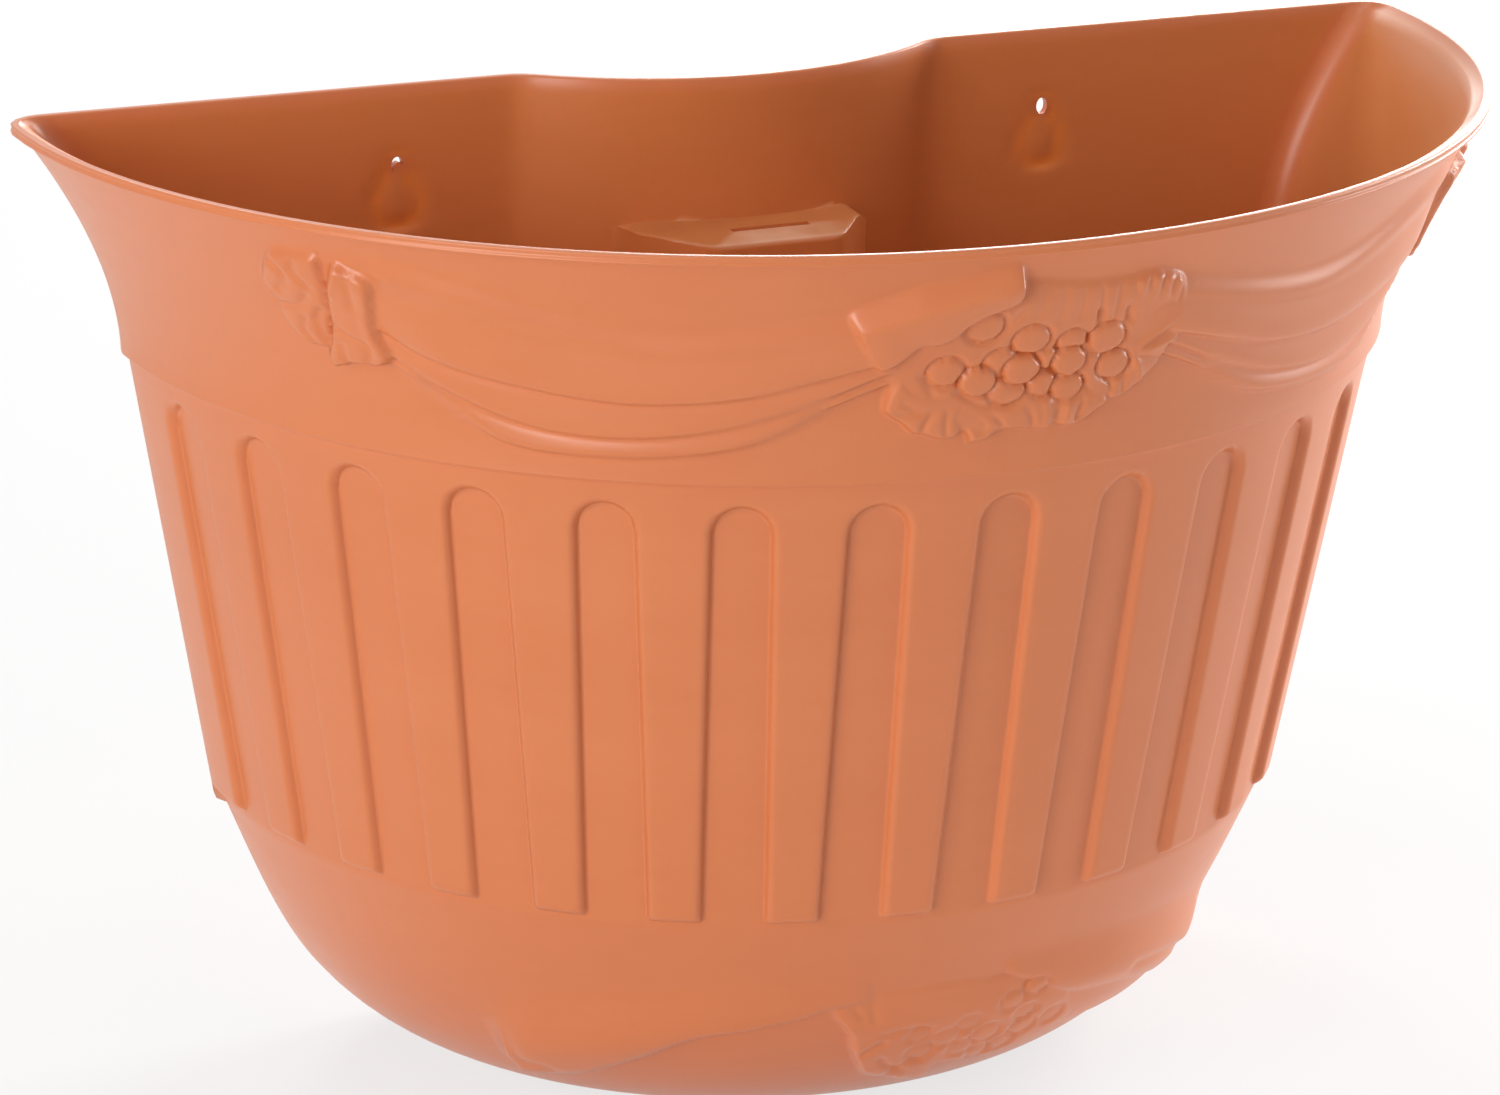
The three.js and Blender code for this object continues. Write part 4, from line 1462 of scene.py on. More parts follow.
@dataclass(frozen=True)
class HangHole:
    """One hang hole with the thinner teardrop round it, and the tab that may cover part of it."""

    x: float
    width: float = 3.2
    height: float = 4.6
    covered: bool = False
    drop_width: float = 15.0
    drop_below: float = 17.5
    band: float = 1.9
    tab_move: Point2 = (0.4, -1.5)
    steps: int = 20

    def arc(self, turn: np.ndarray, move: Point2 = (0.0, 0.0)) -> np.ndarray:
        """Places on the hole's oval at the given angles, moved across and up."""
        x, z = self.width / 2 * np.cos(turn), self.height / 2 * np.sin(turn)
        return np.stack([self.x + move[0] + x, move[1] + z], 1)

    def contour(self) -> np.ndarray:
        """Outline of the opening.

        Returns:
            Places in order: an oval, or a crescent where the tab still covers part of it.
        """
        if not self.covered:
            return self.arc(np.linspace(0, 2 * np.pi, self.steps, endpoint=False))
        open_side = self.arc(np.linspace(math.radians(20), math.radians(215), 12))
        tab = self.arc(np.linspace(math.radians(196), math.radians(42), 10), self.tab_move)
        return np.vstack([open_side, tab])

    def teardrop(self) -> np.ndarray:
        """Middle line of the thin band, open at the hole.

        Returns:
            Places in order.
        """
        r, low = self.drop_width / 2 - 1.6, -self.drop_below
        side = np.array([
            (1.2, 2.0), (2.6, -1.5), (4.4, -5.5), (r, low + 7.5), (0.82 * r, low + 3.4),
            (0.45 * r, low + 1.5), (0, low + 1.0),
        ])
        return np.vstack([side, (side * (-1, 1))[-2::-1]]) + (self.x, 0)

    def thinning(self, x: np.ndarray, z: np.ndarray) -> np.ndarray:
        """Share of thinning, 1 in the middle of the band."""
        line = curve_through(self.teardrop(), closed=False)
        return np.exp(-((line_distance(x, z, line) / self.band) ** 2))


@dataclass(frozen=True)
class BackSkin:
    """One skin of the back wall: its grid, and where the slot and the windows are left open in it."""

    grid: np.ndarray
    slot: tuple[int, int, int]
    windows: list[tuple[int, int, int, int]]


@dataclass
class PlanterShell:
    """The whole moulding as one closed mesh.

    Rows of the lip and the inner tip are given as how far they are cut back in front, their drop below the
    rim and, for the lip, how far they are cut back at the wall. `outer_middle` and `inner_middle` are the
    columns of the back wall's skins from its middle to the channel's side, and `flank` the shares of those
    beyond it.
    """

    form: ShellForm = field(default_factory=ShellForm)
    garland: Garland = field(default_factory=Garland)
    lower: LowerGarland = field(default_factory=LowerGarland)
    flutes: Flutes = field(default_factory=Flutes)
    pocket: BracketPocket = field(default_factory=BracketPocket)
    holes: tuple[HangHole, ...] = (HangHole(-94.0, covered=True), HangHole(94.0))
    drains: tuple[float, ...] = ()
    drain_y: float = 0.0
    drain_radius: float = 6.3
    drain_steps: int = 36
    corner_steps: int = 4
    thin_sunk: float = 0.7
    window_half: float = 4.2
    window_tall: tuple[float, float] = (5.0, 3.6)
    sharp: float = 62.0
    lip: tuple[tuple[float, float, float], ...] = (
        (0.6, 0, 0.5), (0.25, 0.12, 0.15), (0.08, 0.4, 0), (0.2, 0.7, 0), (0.32, 1.1, 0), (0.3, 1.5, 0),
        (0.1, 1.75, 0), (0, 2.05, 0), (0.12, 2.35, 0), (0.55, 2.5, 0),
    )
    tip: tuple[Point2, ...] = ((2.0, 0.0), (2.35, 0.15), (2.5, 0.5))
    collar_foot: tuple[Point2, ...] = ((0.0, 0.35), (0.15, 0.1), (0.5, 0.0))
    collar_plain: tuple[float, ...] = (63.2, 64.5, 66.5, 69, 72, 75, 78, 81, 84, 87, 90)
    face_top: tuple[float, ...] = (2.7, 3.2, 4.0, 4.9, 6, 7, 8)
    face_end: tuple[float, ...] = (55, 55.8, 56.6, 57.4, 58.2, 59, 60, 61, 61.9, 62.3)
    tongue_rows: tuple[float, ...] = (4, 3, 2.2, 1.6, 1.1, 0.7, 0.35, 0.0, -0.4, -1, -2, -3.5)
    arch_down: tuple[float, ...] = (1, 2, 3.2, 4.4, 5.5, 6.5, 7.4, 8.2, 8.8, 9)
    arch_up: tuple[float, ...] = (0.12, 0.3, 0.55, 0.8)
    step_fillet: tuple[float, float] = (0.6, 0.25)
    bowl_plain: tuple[float, ...] = (53, 55, 58, 62, 66, 70, 74, 78, 82, 86, 90)
    outer_middle: tuple[float, ...] = (
        0, 3.5, 7, 10.5, 12, 14, 17, 20, 23, 26, 29, 31, 33, 36, 40, 45, 50, 53.5, 56, 58, 60, 62, 64.5, 68,
    )
    inner_middle: tuple[float, ...] = (
        0, 3.5, 7, 9, 10.5, 12, 14, 16, 17.5, 19, 20.5, 22, 23.5, 25, 26.5, 28, 29.5, 31, 32.5, 34, 35, 36,
        37.2, 39, 41.5, 45, 49, 52, 54, 56, 58, 60, 62, 64.5, 68,
    )
    flank: tuple[float, ...] = (
        1.0, 0.93, 0.8, 0.62, 0.5, 0.42, 0.385, 0.35, 0.32, 0.29, 0.26, 0.23, 0.2, 0.165, 0.13, 0.08,
    )

    # ---------------- front patches
    def front(
        self,
        build: Moulding,
        turns: np.ndarray,
        sizes: tuple[np.ndarray, np.ndarray],
        z: np.ndarray,
        inset: np.ndarray | float = 0.0,
        off: np.ndarray | float = 0.0,
        slope: np.ndarray | float = 0.0,
        **marks: np.ndarray,
    ) -> np.ndarray:
        """Adds rows of points round the half-round front and its two back corners.

        Args:
            build: Moulding that takes the points.
            turns: Angles by row and column, or one row of them that every row shares.
            sizes: Half width and depth of each row.
            z: Heights, of each row or of each point.
            inset: How far each row lies inside the outer face at the back.
            off: Height of relief over the surface.
            slope: How much the sizes grow with height.
            marks: Attributes of the points between the corners.

        Returns:
            The points' numbers, from the left back corner's end to the right one's.
        """
        rows = len(z)
        turns = np.broadcast_to(turns, (rows, turns.shape[-1]))
        z = np.broadcast_to(np.reshape(z, (rows, -1)), turns.shape)
        half, depth = (np.broadcast_to(np.reshape(size, (rows, -1)), turns.shape) for size in sizes)
        inset = np.broadcast_to(np.reshape(inset, (-1, 1)), (rows, 1))
        slope = np.broadcast_to(np.reshape(slope, (-1, 1)), (rows, 1))
        out = off / np.hypot(1, slope)
        corner = self.form.corner
        across, away = (half + out) * np.sin(turns), -corner - (depth + out - corner) * np.cos(turns)
        body = np.stack([across, away, z - out * slope], -1)
        turn = np.linspace(0, np.pi / 2, self.corner_steps + 1)[1:]
        reach = corner - inset
        x = half[:, -1:] - reach + reach * np.cos(turn)
        y = -corner + reach * np.sin(turn)
        right = np.stack([x, y, np.broadcast_to(z[:, -1:], x.shape)], -1)
        left = np.stack([-x, y, np.broadcast_to(z[:, :1], x.shape)], -1)[:, ::-1]
        pad = ((0, 0), (self.corner_steps, self.corner_steps))
        wide = {name: np.pad(np.broadcast_to(value, turns.shape), pad) for name, value in marks.items()}
        return build.add(np.concatenate([left, body, right], 1), **wide)

    def collar(self, build: Moulding) -> tuple[np.ndarray, np.ndarray]:
        """Adds the collar: lip, flared face with its ornament, and rounded lower edge.

        Args:
            build: Moulding that takes the points.

        Returns:
            The grid of points and the angles of its columns.
        """
        form = self.form
        coarse = 0.25
        fine = [np.arange(-16, -13, coarse), np.arange(-13, 13, 0.175), np.arange(13, 16.01, coarse)]
        right = np.concatenate([np.arange(16.6, 49.5, 0.86), np.arange(49.6, 62.4, 0.26), self.collar_plain])
        turns = np.concatenate([-right[::-1], *fine, right]) * DEGREE
        cut, drop, back = np.array(self.lip).T
        sizes = (form.rim_width / 2 - cut, form.rim_depth - cut)
        lip = self.front(build, turns, sizes, form.rim_z - drop, inset=back)
        below = np.concatenate([self.face_top, np.arange(8.7, 54.3, 0.63), self.face_end])
        z = form.rim_z - below
        sizes = form.flare(z)
        angle, depth = np.broadcast_arrays(turns / DEGREE, below[:, None])
        tall = softened(self.garland.height(angle, depth))
        tall = tall * ease((below - 2.7) / 3)[:, None] * ease((59 - below) / 2)[:, None]
        face = self.front(build, turns, sizes, z, off=tall, slope=np.gradient(sum(sizes) / 2, z))
        cut, up = np.array(self.collar_foot).T
        foot = self.front(build, turns, tuple(size - cut for size in form.collar), form.step_z + up)
        grid = np.vstack([lip, face, foot])
        build.quads(grid)
        return grid, turns

    def fluted(self, build: Moulding) -> tuple[np.ndarray, np.ndarray]:
        """Adds the band of tongues and grooves: its rows run straight, but bend round the arches.

        Args:
            build: Moulding that takes the points.

        Returns:
            The grid of points and its angles by row and column.
        """
        form, flutes = self.form, self.flutes
        top, spring = flutes.arch_z(form), flutes.arch_z(form) - flutes.half_top
        high = np.array([0.0, -0.15, -0.5, -1.5, top + 3.2 - form.step_z]) + form.step_z
        straight = np.linspace(spring - 6, form.tongue_z + 6, 10)
        low = np.concatenate([straight, form.tongue_z + np.array(self.tongue_rows)])
        bends = [(high[-1], 1 - step / self.arch_down[-1]) for step in self.arch_down]
        bends += [(low[0], share) for share in self.arch_up]
        flat = np.concatenate([high, np.full(len(bends), spring), low])
        turns, across = flutes.columns(flat, form)
        z = np.tile(flat[:, None], (1, turns.shape[1]))
        arch = spring + flutes.half_top * np.sqrt(np.clip(1 - across**2, 0, None))
        for row, (edge, share) in enumerate(bends, len(high)):
            z[row] = arch[row] + (edge - arch[row]) * share
        fillet = np.zeros((len(flat), 1))
        fillet[: len(self.step_fillet), 0] = self.step_fillet
        half, depth = (size + fillet for size in form.tongues(z))
        outermost = flutes.count // 2
        middle = np.clip(np.round(turns / flutes.pitch), -outermost, outermost) * flutes.pitch
        pace = np.hypot(half * np.cos(middle), (depth - form.corner) * np.sin(middle))
        grid = self.front(build, turns, (half, depth), z, turn=turns, level=z, pace=pace, fluted=1.0)
        build.quads(grid)
        return grid, turns

    def bowl(self, build: Moulding) -> tuple[np.ndarray, np.ndarray]:
        """Adds the bowl with the lower ornament.

        Args:
            build: Moulding that takes the points.

        Returns:
            The grid of points and the angles of its columns.
        """
        form = self.form
        z = form.tongue_z - 5.0 - np.concatenate([np.arange(0, 14, 2.4), np.arange(15, 48, 0.74)])
        z = z[z > form.foot_z + 18]
        down = np.sin(np.linspace(0, 1, 22)[1:] * np.pi / 2)
        z = np.concatenate([z, z[-1] - (z[-1] - form.foot_z) * down])
        right = np.concatenate([np.arange(23.2, 52, 0.72), self.bowl_plain])
        turns = np.concatenate([-right[::-1], np.arange(-22.5, 22.6, 0.34), right]) * DEGREE
        sizes = form.bowl(z)
        slope = np.clip(np.gradient(sum(sizes) / 2, z), 0, 3)
        angle, depth = np.broadcast_arrays(turns / DEGREE, (form.rim_z - z)[:, None])
        tall = softened(self.lower.height(angle, depth)) * ease((z - form.foot_z - 5) / 6)[:, None]
        grid = self.front(build, turns, sizes, z, off=tall, slope=slope)
        build.quads(grid)
        return grid, turns

    def inner_front(self, build: Moulding) -> tuple[np.ndarray, np.ndarray, np.ndarray]:
        """Adds the inside of the front, a wall's thickness behind the outer face.

        Args:
            build: Moulding that takes the points.

        Returns:
            The grid of points, and the heights and half widths of its rows below the tip.
        """
        form = self.form
        turns = np.linspace(-90, 90, 97) * DEGREE
        top = form.rim_z - np.concatenate([[3.0, 6.0, 10.0], np.arange(15, 60, 4.0)])
        band = np.concatenate([[form.step_z - form.wall], np.linspace(form.step_z - 8, form.end_z, 14)])
        down = np.sin(np.linspace(0, np.pi / 2, 20)[1:])
        levels = np.concatenate([top, band, form.end_z - (form.end_z - form.floor_z + 1.8) * down])
        near, under = form.core(levels), form.core(levels - 0.5)
        lean = (near[0] - under[0]) / 0.5
        lean = np.where(levels < form.end_z + 1, np.clip(near[0] - under[0], 0, 3) / 0.5, lean)
        lean = np.where((levels > form.step_z) & (levels < form.step_z + 1), 0.1, lean)
        lean = np.where(np.isclose(levels, form.step_z - form.wall), 0.05, lean)
        length = np.hypot(1, lean)
        sizes = (near[0] - form.wall / length, near[1] - form.wall / length)
        z = levels + form.wall * lean / length
        cut, drop = np.array(self.tip).T
        rim = (form.rim_width / 2 - cut, form.rim_depth - cut)
        tip = self.front(build, turns, rim, form.rim_z - drop, inset=cut)
        # the inside mark takes the painted tint of bounced light
        grid = np.vstack([tip, self.front(build, turns, sizes, z, inset=form.wall, inside=1.0)])
        build.quads(grid)
        return grid, z, sizes[0]

    # ---------------- back wall
    def back_columns(self, half: np.ndarray, inset: np.ndarray, middle: Sequence[float]) -> np.ndarray:
        """Places of the back wall's columns, scaled with its width outside the channel.

        Args:
            half: Half width of each row.
            inset: How far each row lies inside the outer face.
            middle: Places of the columns from the middle to the channel's side.

        Returns:
            Places by row and column, right to left.
        """
        middle = np.array(middle)
        edge = half - (self.form.corner - inset) - self.form.side_gap
        outer = middle[-1] + (edge[:, None] - middle[-1]) * np.array(self.flank)
        inner = np.tile(np.concatenate([middle[::-1], -middle[1:]]), (len(half), 1))
        return np.concatenate([outer, inner, -outer[:, ::-1]], 1)

    def back_skin(
        self,
        build: Moulding,
        z: np.ndarray,
        half: np.ndarray,
        inset: np.ndarray,
        slot_row: int,
        outside: bool,
    ) -> BackSkin:
        """Adds one skin of the back wall, with the channel and the pocket.

        Args:
            build: Moulding that takes the points.
            z: Heights of the rows.
            half: Half width of each row.
            inset: How far each row lies inside the outer face.
            slot_row: Number of the row above the slot.
            outside: True for the skin at the wall, False for the one inside the planter.

        Returns:
            The skin.
        """
        form, pocket = self.form, self.pocket
        thick = form.wall if outside else 0.0
        x = self.back_columns(half, inset, self.outer_middle if outside else self.inner_middle)
        level = pocket.sheared(x, np.broadcast_to(z[:, None], x.shape), form, thick)
        y = form.back(x, inset[:, None])
        boss = pocket.face(x, level, form, thick)
        marks = {}
        if outside:
            y = np.where(boss > form.channel_depth - 6, soft_max(y, boss, 1.2), y)
        else:
            # thin band: sunk into the wall, and the same share paints a glow of light through the thin
            # plastic
            thin = np.clip(sum(hole.thinning(x, level) for hole in self.holes), 0, 1)
            y = np.where(boss > 0, soft_max(y, boss, 2.4), y) - self.thin_sunk * thin
            # pale band on the pocket's roof: rubbing with a painted highlight
            scuff = pocket.scuff(x, level, form) * (boss > form.wall + 1)
            # inside: painted tint of light bounced off the walls
            marks = {"thin": thin, "inside": ease((form.rim_z - 1 - level) / 4), "scuff": scuff}
        grid = build.add(np.stack([x, -y, level], -1), **marks)
        ends = (pocket.slot_offset + side * pocket.slot_width / 2 for side in (1, -1))
        first, last = (int(np.argmin(np.abs(x[slot_row] - end))) for end in ends)
        skip = np.zeros((len(z) - 1, x.shape[1] - 1), bool)
        skip[slot_row, first:last] = True
        windows = self.windows(z, x, skip, self.window_tall[0 if outside else 1])
        build.quads(grid, skip)
        return BackSkin(grid, (slot_row, first, last), windows)

    def outer_back(self, build: Moulding) -> BackSkin:
        """Adds the back wall's outer skin, with the pocket's hollow.

        Args:
            build: Moulding that takes the points.

        Returns:
            The skin.
        """
        form = self.form
        cut, drop, back = np.array(self.lip[:3]).T
        roof, slot_row = self.pocket.roof_rows(form, form.wall)
        foot = self.pocket.top(form, 0.0) - self.pocket.height
        above = [*(form.rim_z - drop), 12.0, 5.0, -5.0, -12.0]
        below = [*np.linspace(roof[-1] - 4, foot - 4, 14), *np.linspace(foot - 14, form.foot_z + 2, 9)]
        z = np.array([*above, *roof, *below, form.foot_z])
        half = np.where(z > form.step_z, form.flare(z)[0], form.tongues(z)[0])
        half = np.where(z < form.end_z, form.bowl(z)[0], half)
        half[:3] = form.rim_width / 2 - cut
        inset = np.pad(back, (0, len(z) - 3))
        return self.back_skin(build, z, half, inset, len(above) + slot_row, outside=True)

    def inner_back(self, build: Moulding, front_z: np.ndarray, front_half: np.ndarray) -> BackSkin:
        """Adds the back wall's inner skin, with the pocket's face.

        Args:
            build: Moulding that takes the points.
            front_z: Heights of the inner front's rows.
            front_half: Half widths of the inner front's rows.

        Returns:
            The skin.
        """
        form = self.form
        cut, drop = np.array(self.tip).T
        roof, slot_row = self.pocket.roof_rows(form, 0.0)
        foot = self.pocket.top(form, 0.0) - self.pocket.height
        above = [*(form.rim_z - drop), 17.0, 11.0, *np.arange(6.0, roof[0] + 1.2, -1.25)]
        below = [*np.arange(roof[-1] - 1.5, roof[-1] - 12, -1.6), *np.linspace(roof[-1] - 14.5, foot - 3, 20)]
        z = np.array([*above, *roof, *below, *np.linspace(foot - 12, front_z[-1], 12)])
        order = np.argsort(front_z)
        half = np.interp(z, front_z[order], front_half[order])
        half[:3] = form.rim_width / 2 - cut
        inset = np.pad(cut, (0, len(z) - 3), constant_values=form.wall)
        return self.back_skin(build, z, half, inset, len(above) + slot_row, outside=False)

    def windows(
        self, z: np.ndarray, x: np.ndarray, skip: np.ndarray, tall: float
    ) -> list[tuple[int, int, int, int]]:
        """Leaves cells open round each hang hole.

        Args:
            z: Heights of the rows.
            x: Places of the columns by row.
            skip: Cells left open, changed here.
            tall: Half the height of each window.

        Returns:
            First and last row and column of each window, in the holes' order.
        """
        top, foot = (int(np.argmin(np.abs(z - edge))) for edge in (tall, -tall))
        made = []
        for hole in self.holes:
            edges = (hole.x + self.window_half, hole.x - self.window_half)
            first, last = (int(np.argmin(np.abs(x[top] - edge))) for edge in edges)
            skip[top:foot, first:last] = True
            made.append((top, foot, first, last))
        return made

    # ---------------- joins
    def corner_spread(self, turns: np.ndarray) -> np.ndarray:
        """Angles along a row, with steps past both ends for the back corners."""
        past = np.linspace(0, 0.3, self.corner_steps + 1)[1:]
        return np.concatenate([turns[0] - past[::-1], turns, turns[-1] + past])

    def close_holes(self, build: Moulding, skins: Sequence[BackSkin]) -> None:
        """Cuts each hang hole through both skins and joins them at its edge.

        Args:
            build: Moulding that takes the faces.
            skins: The outer and the inner skin.
        """
        for index, hole in enumerate(self.holes):
            contour = hole.contour()
            edges = []
            for skin in skins:
                grid, (top, foot, first, last) = skin.grid, skin.windows[index]
                sides = (
                    grid[top, first:last], grid[top:foot, last],
                    grid[foot, last:first:-1], grid[foot:top:-1, first],
                )
                loop = np.concatenate(sides)
                level = np.full(len(contour), build.at(loop)[:, 1].mean())
                edges.append(build.add(np.stack([contour[:, 0], level, contour[:, 1]], -1)))
                build.fill(loop, edges[-1:], (0, 2))
            build.rings(edges)

    def close_slot(self, build: Moulding, skins: Sequence[BackSkin]) -> None:
        """Joins both skins round the slot in the pocket's roof.

        Args:
            build: Moulding that takes the faces.
            skins: The outer and the inner skin.
        """
        rows = []
        for skin in skins:
            row, first, last = skin.slot
            upper, lower = skin.grid[row : row + 2, first : last + 1]
            loop = np.concatenate([upper, lower[::-1], upper[:1]])
            step = np.abs(np.diff(build.at(loop), axis=0))
            length = np.concatenate([[0], np.cumsum(step[:, 0] + 1e-3 * step[:, 2])])
            rows += [loop, length / length[-1]]
        build.stitch(*rows)

    def close_side(self, build: Moulding, fronts: Sequence[np.ndarray], back: np.ndarray) -> None:
        """Joins the fronts' two end columns to the back wall's.

        Args:
            build: Moulding that takes the faces.
            fronts: Grids of the front, from the top down.
            back: Grid of the back wall.
        """
        for front_side, back_side in ((-1, 0), (0, -1)):
            front_line = np.concatenate([front[:, front_side] for front in fronts])
            back_line = back[:, back_side]
            build.stitch(front_line, -build.at(front_line)[:, 2], back_line, -build.at(back_line)[:, 2])

    def close_ring(self, build: Moulding, rings: Sequence[tuple[np.ndarray, np.ndarray]]) -> None:
        """Joins two closed rings that lie beside each other at one height.

        Args:
            build: Moulding that takes the faces.
            rings: Each ring's row of the front and row of the back.
        """
        rows = []
        for front, back in rings:
            steps = np.linalg.norm(np.diff(build.at(front), axis=0), axis=1)
            run = np.concatenate([[0], np.cumsum(steps)])
            x = build.at(back)[:, 0]
            places = [run / run[-1], 1.1 + (x[0] - x) / (x[0] - x[-1]), [2.2]]
            rows += [np.concatenate([front, back, front[:1]]), np.concatenate(places)]
        build.stitch(*rows)

    def ring_inward(self, build: Moulding, loop: np.ndarray, steps: Sequence[Point2]) -> np.ndarray:
        """Adds rings that move inwards from a closed one and joins them.

        Args:
            build: Moulding that takes the points.
            loop: Numbers of the first ring.
            steps: How far each new ring lies inside the first, and its rise over it.

        Returns:
            Numbers of the last ring.
        """
        start = build.at(loop)
        ahead = np.roll(start, -1, 0) - np.roll(start, 1, 0)
        inward = np.stack([-ahead[:, 1], ahead[:, 0]], -1)
        inward /= np.linalg.norm(inward, axis=1)[:, None] + 1e-9
        rings = [loop]
        for move, rise in steps:
            points = start.copy()
            points[:, :2] += inward * move
            points[:, 2] += rise
            rings.append(build.add(points))
        build.rings(rings)
        return rings[-1]

    def round_floor(self, build: Moulding, loop: np.ndarray) -> np.ndarray:
        """Rounds the inside wall into the floor.

        Args:
            build: Moulding that takes the points.
            loop: Numbers of the inner skin's lowest ring.

        Returns:
            Numbers of the floor's loop.
        """
        drop = build.at(loop)[:, 2].mean() - self.form.floor_z
        steps = [(2.4 * (1 - math.cos(t)), -drop * math.sin(t)) for t in np.radians([30, 60, 90])]
        return self.ring_inward(build, loop, steps)

    def round_foot(self, build: Moulding, loop: np.ndarray, turns: np.ndarray) -> np.ndarray:
        """Makes the ring that the foot stands on and the wall of the recess in it.

        Args:
            build: Moulding that takes the points.
            loop: Numbers of the outer skin's lowest ring.
            turns: Angles of the bowl's columns.

        Returns:
            Numbers of the recess's loop.
        """
        form = self.form
        width = form.foot_ring_width
        rings = [self.ring_inward(build, loop, [(0.5, 0.0), (1.2, 0.0)])]
        half, depth = (np.array([float(size) - width]) for size in form.bowl(np.array(form.foot_z)))
        for z in (form.foot_z, form.foot_z + form.foot_ring):
            front = self.front(build, turns, (half, depth), np.array([z]), inset=width)[0]
            x = self.back_columns(half, np.array([width]), self.outer_middle)[0]
            back = build.add(np.stack([x, -form.back(x, width), np.full(x.shape, z)], -1))
            rings.append(np.concatenate([front, back]))
        build.rings(rings)
        return rings[-1]

    def close_drains(self, build: Moulding, loops: Sequence[np.ndarray]) -> None:
        """Fills the floor and the recess round the drain holes and joins them.

        Args:
            build: Moulding that takes the faces.
            loops: The floor's loop and the recess's.
        """
        turn = np.linspace(0, 2 * np.pi, self.drain_steps, endpoint=False)
        x, y = self.drain_radius * np.cos(turn), self.drain_y + self.drain_radius * np.sin(turn)
        sets = []
        for loop in loops:
            z = np.full(self.drain_steps, build.at(loop)[:, 2].mean())
            sets.append([build.add(np.stack([drain + x, y, z], -1)) for drain in self.drains])
            build.fill(loop, sets[-1], (0, 1))
        for rings in zip(*sets):
            build.rings(rings)

    # ---------------- whole
    def build(self) -> Moulding:
        """Gathers every patch of the moulding.

        Returns:
            The closed moulding, its grooves not yet cut.
        """
        build = Moulding()
        collar, collar_turns = self.collar(build)
        band, band_turns = self.fluted(build)
        bowl, bowl_turns = self.bowl(build)
        for upper, upper_turns, lower, lower_turns in (
            (collar[-1], collar_turns, band[0], band_turns[0]),
            (band[-1], band_turns[-1], bowl[0], bowl_turns),
        ):
            build.stitch(upper, self.corner_spread(upper_turns), lower, self.corner_spread(lower_turns))
        outer = self.outer_back(build)
        self.close_side(build, (collar, band, bowl), outer.grid)
        front, front_z, front_half = self.inner_front(build)
        inner = self.inner_back(build, front_z, front_half)
        self.close_side(build, (front,), inner.grid)
        self.close_slot(build, (outer, inner))
        self.close_holes(build, (outer, inner))
        self.close_ring(build, ((collar[0], outer.grid[0]), (front[0], inner.grid[0])))
        floor = self.round_floor(build, np.concatenate([front[-1], inner.grid[-1]]))
        recess = self.round_foot(build, np.concatenate([bowl[-1], outer.grid[-1]]), bowl_turns)
        self.close_drains(build, (floor, recess))
        return build

    def dress(self, finish: bpy.types.Material) -> bpy.types.Object:
        """Builds the moulding, cuts its flutes and puts its finish on.

        Args:
            finish: The moulding's material.

        Returns:
            The finished object.
        """
        blank = linked("planter_blank", self.build().mesh("planter_moulding", self.sharp))
        settings = self.flutes.settings(self.form, finish)
        made = evaluated("planter_moulding", blank, self.flutes.tree(), settings)
        for name in Moulding.FLUTE_MARKS:
            made.data.attributes.remove(made.data.attributes[name])
        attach(made, "root")
        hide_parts("planter_shell")
        return made


